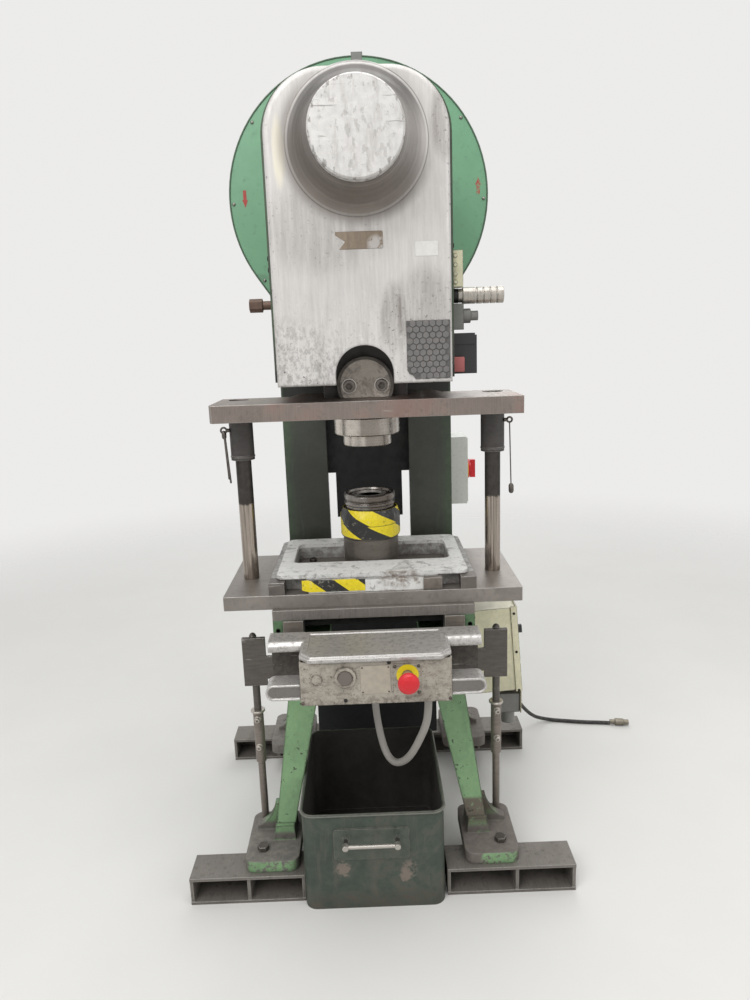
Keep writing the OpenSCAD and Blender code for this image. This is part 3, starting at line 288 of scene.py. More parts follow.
def worn_paint(name, colour, under, chips=0.5, grime=0.5, streaks=0.3, rough=0.45, dust=0.0):
    """Old shop paint: mottled, chipped on its edges down to what is under it, darkened in its corners by
    dirt and painted shade.
    """
    s = Surface(name, 0.003)
    clouds = s.noise(5, 5, 0.6, 0.4)
    spots = s.noise(60, 6, 0.62)
    fine = s.noise(420, 3)
    runs = s.noise(1.6, 5, 0.6, stretch=(26, 26, 2.2))
    # This darkening is painted shade in the corners, from occlusion, and dirt in clouds and runs.
    dirt = s.corner_shade(0.05) * 0.9 + clouds.step(0.52, 0.74) * 0.45 + runs.step(0.52, 0.72) * streaks
    bare = (spots + s.edge() * 0.34 + clouds * 0.16).step(0.86 - 0.22 * chips, 0.90 - 0.22 * chips)
    base = s.coats(
        s.tone(colour, clouds.shade(0.86, 1.08) * spots.step(0.3, 0.72, 0.9, 1.05)),
        grime=(dirt * grime, tint(48, 45, 40)),
        bare=(bare, s.tone(under, fine.shade(0.7, 1.2))),
    )
    if dust:
        settled = s.facing()[2].step(0.4, 0.9) * spots.step(0.25, 0.7, 0.5, 1.0)
        base = s.coats(base, dust=(settled * dust, tint(150, 144, 136)))
    gloss = rough + spots.shade(-0.08, 0.12) + bare * 0.12 + dirt * 0.12
    return s.finish(base, gloss, 0.0, fine * 0.15 + spots * 0.35 - bare * 0.6, 0.35, 0.0006)


def steel(name, colour, grain=(1, 1, 40), rough=0.34, stain=0.4, stain_colour=(60, 55, 50),
          metal=0.85, scratches=0.5, warm=0.0):
    """Machined or worn steel, with its tool marks across the axis that has the large number."""
    s = Surface(name, 0.0025)
    clouds = s.noise(7, 5, 0.6, 0.6)
    spots = s.noise(75, 6, 0.65)
    marks = s.noise(1.4, 4, 0.7, stretch=tuple(g * 12 for g in grain))
    cuts = s.noise(1.0, 3, 0.7, stretch=(9, 300, 40), turn=(0.3, 0.2, 0.5))
    edge = s.edge()
    base = s.tone(colour, marks.step(0.25, 0.75, 0.82, 1.14) * clouds.step(0.25, 0.75, 0.84, 1.1))
    if warm:
        base = s.coats(base, warm=(clouds.step(0.48, 0.7) * warm, tint(160, 118, 106)))
    # Stains in clouds and spots, and painted shade in the corners from occlusion.
    dirt_and_shade = (clouds.step(0.5, 0.75) * 0.6 + spots.step(0.52, 0.7) * 0.5 + s.corner_shade(0.05)) * stain
    base = s.coats(
        base,
        stain=(dirt_and_shade, tint(*stain_colour)),
        scratches=(cuts.step(0.66, 0.72) * scratches * 0.5, tint(205, 202, 198)),
        bright_edges=(edge * spots.step(0.3, 0.6, 0.4, 1.0) * 0.5, tint(214, 211, 206)),
    )
    gloss = rough + marks.step(0.25, 0.75, -0.06, 0.1) + dirt_and_shade * 0.25 - edge * 0.08
    shine = metal * (1 - dirt_and_shade * 0.6).limit()
    return s.finish(base, gloss, shine, marks * 0.5 + spots * 0.3, 0.18, 0.0005)


# Dim smudges on the front casting: middle in x and z, half width and half height, strength
SMUDGES = (
    ((-0.07, 1.42), (0.15, 0.10), 0.34),
    ((0.12, 1.27), (0.07, 0.09), 0.45),
    ((0.165, 1.60), (0.035, 0.08), 0.6),
    ((0.06, 1.25), (0.03, 0.08), 0.5),
)
# The radius at which the boss leaves the casting's face
BOSS_FOOT = 0.1335


def silver_casting():
    """Silver paint worn white, wiped upright, smudged dark low down, with turned rings on the boss."""
    s = Surface("worn_silver", 0.006)
    x, y, z = s.parts(s.at)
    radius = s.reach(x, z - SHAFT_Z)
    boss = y.step(HEAD_FRONT_Y - 0.0003, HEAD_FRONT_Y - 0.003)
    off_boss = 1 - boss
    clouds = s.noise(6, 6, 0.6, 0.6)
    spots = s.noise(55, 8, 0.7)
    specks = s.noise(130, 5, 0.7)
    wipe = s.noise(1.5, 6, 0.7, stretch=(34, 10, 3))
    fine = s.noise(1.0, 5, 0.75, stretch=(150, 40, 12))
    crackle = s.noise(105, 9, 0.68, stretch=(1.3, 1, 0.8))
    rings = s.noise(1.0, 3, 0.6, at=s.node("CombineXYZ", {}, radius * 300, 0.0, 0.0))
    low = z.step(1.34, 1.17)
    corner = s.patch(x, z, (-0.16, 1.14), (0.17, 0.13))
    dim = sum(s.patch(x, z, middle, size) * strength for middle, size, strength in SMUDGES)
    rim = abs(x).step(0.160, 0.172) + z.step(1.165, 1.145)
    # Painted shade: the boss darkens towards its lower left. It also darkens towards its top and turns
    # browner towards its foot.
    side = x * -4.0 + (SHAFT_Z + 0.010 - z) * 5.4
    cone = s.coats(
        tint(170, 165, 161),
        shaded=(side.step(-0.6, 0.5), tint(112, 106, 101)),
        top=((z - SHAFT_Z).step(0.0, 0.09) * 0.9, tint(88, 86, 84)),
        foot=((SHAFT_Z - z).step(0.02, 0.12) * 0.6, tint(140, 130, 122)),
    )
    cone = s.tone(cone, rings.shade(0.86, 1.1) * clouds.shade(0.88, 1.1))
    # A painted shadow on the casting's face round the boss's foot, strongest on the boss's shaded side.
    halo = radius.step(0.158, 0.130) * off_boss * side.step(-0.5, 0.3, 0.25, 0.85)
    line = abs(radius - BOSS_FOOT).step(0.0016, 0.0005) * y.step(HEAD_FRONT_Y + 0.004, HEAD_FRONT_Y)
    facing_up = s.facing()[2].step(0.15, 0.8)
    wiped = wipe.step(0.40, 0.75) * (0.22 + low * 0.2) + dim * wipe.step(0.3, 0.6, 0.4, 1.0)
    base = s.coats(
        s.tone(colours().silver, fine.step(0.25, 0.75, 0.90, 1.06) * clouds.shade(0.93, 1.03)),
        wiped=(wiped, tint(142, 136, 131)),
        dark_crackle=(crackle.step(0.46, 0.60) * corner * 0.42, tint(118, 115, 112)),
        pale_crackle=(crackle.step(0.46, 0.38) * corner * 0.45, tint(220, 218, 216)),
        specks=(specks.step(0.58, 0.66) * (low * 0.45 + dim * 0.9 + rim * 0.6), tint(74, 70, 66)),
        rubbed=(spots.step(0.56, 0.68) * (0.12 + low * 0.3), tint(236, 234, 231)),
        # A painted highlight: a yellowish glossy streak on the upper left of the face.
        yellowed=(s.patch(x, z, (-0.146, 1.555), (0.014, 0.075)) * 0.6, tint(240, 234, 210)),
        boss=(boss * radius.step(BOSS_FOOT, BOSS_FOOT - 0.002), cone),
        halo=(halo, tint(132, 125, 119)),
        line=(line * 0.6, tint(88, 82, 77)),
        # Painted shade and grime in the corners, from occlusion.
        grime=(s.corner_shade(0.04) * 0.5, tint(92, 88, 84)),
        bright_edges=(s.edge() * spots.step(0.35, 0.6) * off_boss * 0.5, tint(214, 213, 210)),
        dusty_top=(facing_up * off_boss * 0.5, tint(150, 148, 145)),
    )
    gloss = 0.40 + wipe.shade(-0.06, 0.1) + low * 0.08
    height = wipe * 0.2 + fine * 0.25 + crackle * (low * 0.4 + corner * 1.8) + boss * rings * 0.5
    return s.finish(base, gloss, 0.3, height, 0.35, 0.0012)


def cap_silver():
    """The boss cap: silver worn white, with crossing scratches and a few dents."""
    s = Surface("cap_silver", 0.003)
    x, _, z = s.parts(s.at)
    spots = s.noise(75, 8, 0.74)
    wipe = s.noise(1.2, 6, 0.7, stretch=(60, 10, 12), turn=(0, 0.4, 0))
    cuts = s.noise(1.0, 3, 0.7, stretch=(12, 20, 190), turn=(0, 0.5, 0))
    dents = s.noise(60, 7, 0.6, stretch=(1.5, 1, 0.8)).step(0.56, 0.60)
    rim = s.reach(x, z - SHAFT_Z).step(0.070, 0.084)
    base = s.coats(
        s.tone(tint(216, 214, 211), spots.step(0.3, 0.75, 1.04, 0.84)),
        wiped=(wipe.step(0.46, 0.72) * 0.5, tint(158, 154, 150)),
        dents=(dents * (0.3 + rim * 0.5), tint(128, 124, 120)),
        scratches=(cuts.step(0.66, 0.7) * 0.6, tint(104, 100, 96)),
        edges=(s.edge() * 0.5, tint(120, 116, 112)),
    )
    return s.finish(base, 0.42 + spots * 0.1, 0.3, spots + cuts * 0.6 - dents * 0.5, 0.4, 0.0009)


def frame_paint():
    """The frame: dark oily green, its own green at the table's ends, painted black shade in the table's
    slot and a painted shadow under the head.
    """
    s = Surface("frame_green", 0.004)
    x, y, z = s.parts(s.at)
    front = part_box("frame")[0].y
    wide = abs(x)
    clouds = s.noise(6, 6, 0.62, 0.6)
    spots = s.noise(70, 7, 0.66)
    rub = s.noise(1.3, 5, 0.7, stretch=(30, 20, 5), turn=(0, 0.4, 0))
    table = z.step(0.632, 0.628)
    ends = wide.step(0.175, 0.216) * 0.34 + table * wide.step(0.17, 0.19) * 0.85
    behind = z.step(1.17, 1.24) * (y - front).step(0.004, 0.03) * 0.8
    fresh = ends + behind + rub.step(0.6, 0.72) * 0.1
    green = s.tone(tint(92, 124, 88), spots.shade(0.8, 1.08))
    # Painted shade: the faces inside the table's slot are made nearly black.
    slot = table * y.step(front + 0.001, front + 0.004) * wide.step(0.206, 0.202)
    # A painted shadow: the frame's front faces under the head are made nearly black.
    ahead = s.facing()[1].step(-0.7, -0.9)
    under_head = ahead * z.step(1.156, 1.150) * z.step(1.03, 1.06) * wide.step(0.215, 0.205)
    base = s.coats(
        s.tone(colours().frame_green, clouds.shade(0.78, 1.22) * spots.shade(0.9, 1.1)),
        fresh_green=(fresh * clouds.step(0.25, 0.6, 0.5, 1.0), green),
        # Painted shade and grime in the corners, from occlusion.
        grime=(s.corner_shade(0.08) * 0.8, tint(34, 33, 30)),
        chips=((spots + s.edge() * 0.3).step(0.72, 0.76) * 0.8, tint(84, 80, 74)),
        rubbed=(rub.step(0.64, 0.68) * 0.2, tint(92, 92, 86)),
        slot=(slot * 0.96, tint(14, 14, 13)),
        under_head=(under_head * 0.9, tint(30, 31, 28)),
    )
    gloss = 0.42 + spots.shade(-0.08, 0.14) + slot * 0.4
    return s.finish(base, gloss, 0.0, spots * 0.5 + clouds * 0.3, 0.3, 0.0012)


def foot_and_leg_paint():
    """The legs: light green bars, bare grey feet with a worn green lip, chipped low on the right."""
    s = Surface("leg_green", 0.006)
    x, y, z = s.parts(s.at)
    across, ahead, _ = s.facing()
    clouds = s.noise(7, 6, 0.62, 0.5)
    spots = s.noise(62, 8, 0.68, 0.3)
    runs = s.noise(1.3, 5, 0.7, stretch=(40, 40, 6))
    fine = s.noise(300, 4)
    edge = s.edge()
    grey = s.tone(tint(122, 118, 112), spots.step(0.3, 0.72, 0.72, 1.2))
    foot = z.step(0.118, 0.106)
    bar = 1 - foot
    lip = foot * ahead.step(-0.5, -0.9) * z.step(0.100, 0.092) * spots.step(0.42, 0.50)
    lip = lip * y.step(-0.2, -0.25) * x.step(0.215, 0.225).most(x.step(0.0, -0.05))
    patch = x.step(0.15, 0.19) * z.step(0.172, 0.162) * spots.step(0.36, 0.44)
    patch = patch * z.step(0.108, 0.130, 0.35, 1.0)
    # Painted shade: the legs' outer sides low down and their rear halves are darker.
    outer = abs(x).step(0.0, 0.1) * abs(across).step(0.5, 0.9)
    shaded_sides = outer * z.step(0.30, 0.16) * 0.9 + y.step(-0.05, 0.05) * 0.5
    chips = (spots * 0.7 + s.noise(150, 7, 0.7) * 0.4 + edge * 0.2).step(0.645, 0.665) * bar
    base = s.coats(
        s.tone(colours().leg_green, clouds.shade(0.84, 1.08) * spots.shade(0.9, 1.06)),
        runs=(runs.step(0.5, 0.75) * 0.3, tint(66, 88, 64)),
        foot=(foot - lip, grey),
        worn_patch=(patch * (1 - lip) * 0.9, tint(96, 80, 74)),
        hidden_side=(shaded_sides * bar, tint(82, 84, 74)),
        chips=(chips * 0.9, tint(54, 54, 47)),
        # Painted shade in the corners from occlusion, with grime in clouds.
        grime=(s.corner_shade(0.05) * 0.75 + clouds.step(0.55, 0.75) * 0.2, tint(58, 56, 50)),
        bright_edges=(foot * edge * 0.35, tint(158, 152, 144)),
    )
    gloss = 0.44 + foot * 0.22 + chips * 0.1
    return s.finish(base, gloss, 0.0, spots * 0.5 - chips * 0.5 + fine * 0.1, 0.4, 0.001)


def bin_paint():
    """The scrap bin: dark green, rubbed to brown and grey, dark with painted shade inside, bright on its
    bar.
    """
    s = Surface("bin_green", 0.003)
    x, y, z = s.parts(s.at)
    across, ahead, up = s.facing()
    low, high = BIN
    middle = (low + high) / 2
    clouds = s.noise(9, 6, 0.65, 0.8)
    spots = s.noise(55, 8, 0.7, 0.3)
    flecks = s.noise(110, 8, 0.75)
    runs = s.noise(1.3, 5, 0.7, stretch=(40, 30, 4))
    inward = (across * (middle.x - x) + ahead * (middle.y + 0.012 - y)).step(0.0, 0.02)
    floor = up.step(0.5, 0.9) * z.step(high.z - 0.02, high.z - 0.03)
    # Two worn places on the front, with ragged edges
    ragged_x, ragged_z = x + (clouds - 0.5) * 0.09, z + (spots - 0.5) * 0.10
    worn = sum(
        s.patch(ragged_x, ragged_z, place, size)
        for place, size in (((-0.085, 0.102), (0.020, 0.022)), ((0.060, 0.090), (0.018, 0.030)))
    ) * spots.step(0.40, 0.52) * ahead.step(-0.5, -0.9)
    plate = y.step(low.y + 0.031, low.y + 0.0295) * y.step(low.y + 0.024, low.y + 0.026)
    bar = y.step(low.y + 0.014, low.y + 0.008) * z.step(0.182, 0.178) * z.step(0.160, 0.164)
    base = s.coats(
        s.tone(colours().bin_green, clouds.shade(0.72, 1.2) * spots.shade(0.78, 1.14)),
        brown=(clouds.step(0.46, 0.62) * spots.step(0.38, 0.58) * 0.75, tint(86, 80, 72)),
        runs=(runs.step(0.52, 0.7) * 0.4, tint(98, 92, 84)),
        flecks=(flecks.step(0.60, 0.68) * 0.55, tint(46, 48, 42)),
        floor_dirt=(z.step(0.055, 0.02) * spots.step(0.3, 0.6) * 0.5, tint(70, 62, 54)),
        worn=(worn * 0.7, tint(138, 124, 114)),
        plate=(plate * 0.5, s.tone(tint(92, 98, 88), spots.shade(0.7, 1.2))),
        # Painted shade: the bin's inner walls and floor are made dark.
        inside=((inward + floor) * 0.97, s.tone(tint(62, 59, 56), clouds.shade(0.6, 1.2))),
        bright_edges=(s.edge() * spots.step(0.3, 0.6) * 0.6 * (1 - inward), tint(140, 138, 128)),
        bar=(bar, tint(186, 181, 174)),
    )
    gloss = 0.48 + spots.shade(-0.1, 0.15) + inward * 0.2 - bar * 0.15
    return s.finish(base, gloss, bar * 0.85, spots * 0.6 + clouds * 0.3, 0.3, 0.001)


def guard_paint():
    """The belt guard: even satin green with greasy smudges and a thin dark rim."""
    s = Surface("guard_green", 0.0015)
    x, _, z = s.parts(s.at)
    clouds = s.noise(9, 6, 0.6, 0.9)
    spots = s.noise(60, 7, 0.66)
    wipe = s.noise(1.2, 5, 0.7, stretch=(30, 20, 8), turn=(0, 0.7, 0))
    smudge = clouds.step(0.52, 0.72) * 0.42 + spots.step(0.56, 0.7) * 0.22 + wipe.step(0.55, 0.75) * 0.2
    round_top = s.reach(x, z - SHAFT_Z).step(0.3355, 0.3375) * z.step(SHAFT_Z - 0.17, SHAFT_Z - 0.13)
    base = s.coats(
        s.tone(colours().guard_green, clouds.shade(0.93, 1.05)),
        smudges=(smudge, tint(70, 84, 70)),
        # Painted shade and grime in the corners, from occlusion.
        grime=(s.corner_shade(0.05) * 0.45, tint(58, 70, 58)),
        rim=((round_top + s.edge() * 0.6).limit() * 0.75, tint(52, 62, 54)),
    )
    return s.finish(base, 0.38 + smudge * 0.3, 0.0, spots * 0.4 + clouds * 0.4, 0.15, 0.0008)


def console_paint():
    """The console housing: beige-grey, flecked and smeared with oil. Its side plates are bare and dark."""
    s = Surface("console_grey", 0.002)
    x, _, z = s.parts(s.at)
    clouds = s.noise(14, 6, 0.62, 0.8)
    spots = s.noise(90, 8, 0.72, 0.3)
    flecks = s.noise(170, 6, 0.75)
    smears = s.noise(1.3, 6, 0.7, stretch=(16, 40, 60), turn=(0, 0.3, 0))
    cuts = s.noise(1.0, 3, 0.7, stretch=(14, 20, 170), turn=(0, 0.7, 0))
    low = z.step(CONSOLE[0].z + 0.040, CONSOLE[0].z)
    wing = abs(x).step(0.1475, 0.149)
    bare = s.coats(
        s.tone(tint(84, 80, 76), spots.shade(0.66, 1.25)),
        scratches=(cuts.step(0.62, 0.68) * 0.7, tint(158, 154, 149)),
    )
    base = s.coats(
        s.tone(colours().console, clouds.shade(0.82, 1.08)),
        spots=(spots.step(0.46, 0.66) * 0.6, tint(108, 99, 88)),
        smears=(smears.step(0.52, 0.68) * 0.5, tint(96, 88, 78)),
        flecks=(flecks.step(0.58, 0.63) * 0.9, tint(54, 48, 42)),
        low_dirt=(low * spots.step(0.35, 0.6) * 0.7, tint(88, 79, 69)),
        oil=(clouds.step(0.6, 0.72) * spots.step(0.4, 0.6) * 0.6, tint(76, 68, 58)),
        edges=(s.edge() * spots.step(0.35, 0.6), tint(80, 74, 66)),
        wings=(wing, bare),
        # Painted shade and grime in the corners, from occlusion.
        grime=(s.corner_shade(0.03) * 0.7, tint(60, 54, 48)),
    )
    return s.finish(base, 0.5 + spots * 0.15, wing * 0.6, flecks * 0.4 + spots * 0.5, 0.3, 0.0006)


def cover_metal():
    """The console cover and pads: silver casting, bright on its lips, grey in its sunk faces."""
    s = Surface("cover_silver", 0.004)
    _, y, z = s.parts(s.at)
    _, ahead, up = s.facing()
    low, top = COVER[0].z, COVER[1].z
    clouds = s.noise(16, 6, 0.65, 0.8)
    spots = s.noise(95, 8, 0.72)
    wipe = s.noise(1.4, 5, 0.7, stretch=(7, 60, 60))
    flat = up.step(0.8, 0.98)
    panel = flat * z.step(top - 0.0008, top - 0.0016) * z.step(top - 0.006, top - 0.004)
    pad_face = z.step(low - 0.015, low - 0.018) * ahead.step(-0.9, -0.99)
    sunk = pad_face * (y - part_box("left_hand_pad")[0].y).step(0.0005, 0.0015)
    base = s.coats(
        s.tone(tint(196, 193, 190), clouds.shade(0.86, 1.06)),
        flat=(flat * 0.3, tint(184, 181, 177)),
        panel=(panel * 0.8, s.tone(tint(184, 181, 177), wipe.shade(0.88, 1.1))),
        dirt=(spots.step(0.46, 0.66) * 0.55 + wipe.step(0.56, 0.7) * 0.35, tint(100, 96, 92)),
        sunk=(sunk * 0.85, s.tone(tint(110, 106, 102), spots.shade(0.75, 1.2))),
        bright_edges=(s.edge() * spots.step(0.2, 0.6, 0.5, 1.0) * 0.85, tint(228, 226, 223)),
        # Painted shade and grime in the corners, from occlusion.
        grime=(s.corner_shade(0.03) * 0.65, tint(66, 62, 58)),
    )
    gloss = 0.28 + spots.shade(-0.06, 0.2) + flat * 0.1
    return s.finish(base, gloss, 0.75, spots * 0.5 + clouds * 0.4, 0.14, 0.0006)


def pillar_metal():
    """The guide pillars: dull oxide above where the bushes stop, bright below with upright streaks of
    painted reflection.
    """
    s = Surface("pillar_steel")
    z = s.parts(s.at)[2]
    streaks = s.noise(1.0, 5, 0.7, stretch=(170, 170, 3))
    spots = s.noise(80, 6, 0.7)
    dull = (z + spots * 0.02).step(0.862, 0.868)
    base = s.coats(
        # Painted reflections: upright streaks lighten and darken the steel below the oxide.
        s.tone(tint(172, 161, 150), streaks.step(0.34, 0.66, 1.15, 0.42)),
        oxide=(dull, s.tone(tint(72, 69, 66), spots.shade(0.8, 1.15))),
        # Painted shade and grime in the corners, from occlusion.
        grime=(s.corner_shade(0.03) * 0.6, tint(60, 52, 46)),
    )
    gloss = 0.2 + dull * 0.28 + streaks.step(0.4, 0.7, 0.0, 0.14)
    return s.finish(base, gloss, 0.9, streaks, 0.06, 0.0005)


def turned_steel(name, colour, bore=0.0):
    """Bright turned steel with soft upright bands of painted reflection, and a bore wall painted lighter,
    as painted light, where a bore radius is given.
    """
    s = Surface(name, 0.0015)
    x, y, _ = s.parts(s.at)
    reflection_bands = s.noise(1.0, 3, 0.5, stretch=(24, 24, 0.5))
    rings = s.noise(1.0, 3, 0.6, stretch=(4, 4, 420))
    spots = s.noise(80, 7, 0.7)
    base = s.coats(
        # Painted reflections: the upright bands lighten and darken the steel.
        s.tone(colour, reflection_bands.step(0.36, 0.64, 1.2, 0.55) * rings.shade(0.92, 1.06)),
        brown=(reflection_bands.step(0.52, 0.62) * 0.16, tint(126, 102, 84)),
        # Painted shade in the corners from occlusion, with grime in spots.
        grime=(spots.step(0.56, 0.68) * 0.16 + s.corner_shade(0.02) * 0.25, tint(62, 56, 51)),
        edges=(s.edge() * 0.2, tint(206, 202, 196)),
    )
    # Painted light: the bore wall is made light grey where it would be dark in shade.
    if bore:
        base = s.coats(base, bore=(s.reach(x, y - DIE_Y).step(bore + 0.002, bore), tint(214, 208, 202)))
    gloss = 0.2 + spots.step(0.4, 0.7, 0.0, 0.2) + rings.shade(0.0, 0.05)
    return s.finish(base, gloss, 0.9, rings * 0.5 + spots * 0.4, 0.08, 0.0004)


def ram_cap_metal():
    """The ram's cap: a blotched grey face inside a dark oily rim. The face's grey is painted light, far
    lighter than iron, against the arch's shadow.
    """
    s = Surface("cap_iron", 0.0015)
    x, _, z = s.parts(s.at)
    low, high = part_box("ram_cap")
    size = (high.x - low.x) / 2
    rim = s.reach(x, z - (high.z - size)).step(size * 0.88, size * 0.90)
    clouds = s.noise(26, 6, 0.68, 0.4)
    spots = s.noise(120, 7, 0.72)
    base = s.coats(
        # Painted light: this grey is far lighter than the cap's iron, to make up for the shadow of the arch
        # above.
        s.tone(tint(232, 223, 211), spots.shade(0.86, 1.08)),
        blotches=(clouds.step(0.46, 0.60) * 0.6, tint(140, 130, 120)),
        pits=(spots.step(0.58, 0.66) * 0.6, tint(56, 51, 46)),
        rim=(rim * 0.8, tint(56, 52, 48)),
        edges=(s.edge() * 0.5, tint(150, 144, 138)),
    )
    return s.finish(base, 0.5 + spots * 0.15, 0.15, spots + clouds * 0.6, 0.3, 0.0006)


def white_paint():
    """The locating frame: chalky white paint, black rubbed marks, mottled painted shade under its top bar,
    rust-brown stains at the front.
    """
    s = Surface("worn_white", 0.003)
    x, y, z = s.parts(s.at)
    low, high = LOCATOR
    clouds = s.noise(16, 6, 0.65, 0.9)
    spots = s.noise(75, 8, 0.72, 0.4)
    wipe = s.noise(1.3, 6, 0.7, stretch=(12, 60, 30))
    scuffs = s.noise(30, 6, 0.7, 0.5)
    marks = clouds.step(0.52, 0.72) * 0.55 + spots.step(0.54, 0.68) * 0.45 + wipe.step(0.56, 0.7) * 0.3
    # Painted shade, mottled: the faces under the top bar and behind the front are darker.
    ledge = z.step(high.z - 0.0075, high.z - 0.0085) * y.step(low.y + 0.002, low.y + 0.004)
    rust = y.step(low.y + 0.05, low.y + 0.01) * x.step(0.0, 0.03) * x.step(0.115, 0.085)
    base = s.coats(
        s.tone(colours().white, clouds.shade(0.9, 1.03)),
        marks=(marks, tint(104, 101, 98)),
        ledge=(ledge * (0.45 + spots.step(0.35, 0.6) * 0.4), tint(112, 108, 104)),
        scuffs=(scuffs.step(0.56, 0.64) * 0.6, tint(128, 124, 121)),
        rust=(rust * clouds.step(0.42, 0.62) * spots.step(0.3, 0.6) * 0.85, tint(112, 90, 72)),
        edges=(s.edge() * spots.step(0.4, 0.6) * 0.8, tint(92, 88, 84)),
        # Painted shade and grime in the corners, from occlusion.
        grime=(s.corner_shade(0.03) * 0.7, tint(74, 70, 66)),
    )
    return s.finish(base, 0.42 + spots * 0.2, 0.0, spots * 0.6 + marks * 0.3, 0.3, 0.0008)


def plastic(name, colour, rough=0.35, dirt=0.3, neck=None):
    """Moulded plastic with a fine grain, handled and a little dirty, and grey behind the place neck."""
    s = Surface(name, 0.001)
    spots = s.noise(110, 6, 0.7)
    grain = s.noise(900, 2)
    base = s.tone(colour, spots.shade(0.92, 1.04))
    if neck:
        behind = s.parts(s.at)[1].step(neck - 0.0005, neck + 0.0005)
        base = s.coats(base, neck=(behind, tint(140, 118, 110)))
    # This mask holds dirt in spots and painted shade in the corners, from occlusion.
    base = s.coats(base, dirt=((spots.step(0.52, 0.7) * 0.5 + s.corner_shade(0.02)) * dirt, tint(60, 54, 48)))
    return s.finish(base, rough + spots * 0.12, 0.0, grain, 0.05, 0.0003)


def rubber(name, colour, rough=0.55, dust=0.3):
    """Matte rubber or cord skin with dust in its pores."""
    s = Surface(name)
    pores = s.noise(120, 6, 0.7).step(0.45, 0.7)
    grain = s.noise(700, 3)
    base = s.coats(colour, dust=(pores * dust, tint(150, 144, 136)))
    return s.finish(base, rough + grain * 0.1, 0.0, grain, 0.12, 0.0003)


def hazard(name, pitch, slant, phase, seam=None):
    """Yellow and black slanting stripes on a tape's own UV map, which counts metres along and up it.

    pitch is the length of a yellow and a black stripe. At the seam, a height, one turn laps another.
    """
    s = Surface(name)
    u, v, _ = s.parts(s.node("UVMap", {"uv_map": "tape"}))
    spots = s.noise(130, 8, 0.75)
    crease = s.noise(60, 6, 0.7, 1.4)
    shift = u + v * slant + phase
    if seam:
        shift = shift + v.step(seam + 0.0004, seam - 0.0004) * 0.008
    band = (shift / pitch).math("FRACT")
    base = s.coats(
        s.tone(colours().hazard_yellow, crease.shade(0.86, 1.03)),
        stripes=(abs(band - 0.5).step(0.245, 0.255), tint(34, 34, 34)),
        dirt=(spots.step(0.58, 0.66) * 0.85, tint(64, 58, 46)),
        creases=(crease.step(0.60, 0.63) * 0.3, tint(196, 190, 170)),
    )
    if seam:
        base = s.coats(base, seam=(abs(v - seam).step(0.0012, 0.0004) * 0.7, tint(30, 29, 26)))
    return s.finish(base, 0.24 + spots * 0.2, 0.0, crease, 0.6, 0.0014)


def plain(name, colour, rough=0.5, metal=0.0, spread=0.12):
    """A plain finish with a slight mottle, for small fittings."""
    s = Surface(name, 0.001)
    spots = s.noise(90, 6, 0.7)
    base = s.coats(
        s.tone(colour, spots.shade(1 - spread, 1 + spread)),
        # Painted shade and grime in the corners, from occlusion.
        grime=(s.corner_shade(0.015) * 0.6, tint(40, 36, 32)),
    )
    return s.finish(base, rough + spots * 0.15, metal, spots, 0.12, 0.0004)


# Points nearer than this are one point, and a radius below it closes a turned shape
CLOSED = 1e-6
# The greatest chance turn of a screw's head
FULL_TURN = 6.28


def circle_point(radius, angle):
    return radius * math.cos(angle), radius * math.sin(angle)


def circle_section(radius, sides):
    return [circle_point(radius, 2 * math.pi * i / sides) for i in range(sides)]


def smooth(mesh, angle=35):
    """Shades a mesh smooth, with its edges sharp above an angle in degrees."""
    limit = math.radians(angle)
    made = bmesh.new()
    made.from_mesh(mesh)
    for face in made.faces:
        face.smooth = True
    for edge in made.edges:
        edge.smooth = len(edge.link_faces) == 2 and edge.calc_face_angle(0) < limit
    made.to_mesh(mesh)
    made.free()


def piece(name, mesh, body, slot, material, replaced=(), angle=35):
    """Puts a finished mesh into the scene as a piece that rides on a body."""
    thing = bpy.data.objects.new(name, mesh)
    bpy.context.scene.collection.objects.link(thing)
    if not mesh.materials:
        mesh.materials.append(material)
    if angle:
        smooth(mesh, angle)
    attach(thing, body)
    if replaced:
        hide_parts(*replaced)
    return thing


def mesh_from(name, build):
    """A mesh made by a function that fills a bmesh."""
    made = bmesh.new()
    build(made)
    bmesh.ops.remove_doubles(made, verts=made.verts, dist=CLOSED)
    bmesh.ops.recalc_face_normals(made, faces=made.faces)
    mesh = bpy.data.meshes.new(name)
    made.to_mesh(mesh)
    made.free()
    return mesh


def add_prism(made, outline, low, high, axis="Z"):
    """A closed prism over a flat outline of (a, b) points, between two places along Z or Y."""
    rings = [
        [made.verts.new((a, b, t) if axis == "Z" else (a, t, b)) for a, b in outline] for t in (low, high)
    ]
    count = len(outline)
    made.faces.new(rings[0])
    made.faces.new(rings[1])
    for i in range(count):
        j = (i + 1) % count
        made.faces.new((rings[0][i], rings[0][j], rings[1][j], rings[1][i]))


def add_turned(made, profile, centre, axis=(0, 0, 1), sides=48):
    """A turned solid: profile is (radius, distance along the axis), from end to end."""
    turn = Vector((0, 0, 1)).rotation_difference(Vector(axis)).to_matrix()
    rings = []
    for radius, along in profile:
        around = circle_section(radius, sides) if radius > CLOSED else [(0, 0)]
        rings.append([made.verts.new(Vector(centre) + turn @ Vector((a, b, along))) for a, b in around])
    for first, second in zip(rings, rings[1:]):
        for i in range(sides):
            j = (i + 1) % sides
            ends = ((first, i), (first, j), (second, j), (second, i))
            unique = list(dict.fromkeys(ring[k % len(ring)] for ring, k in ends))
            if len(unique) > 2:
                made.faces.new(unique)
    for ring in (rings[0], rings[-1]):
        if len(ring) > 1:
            made.faces.new(ring)


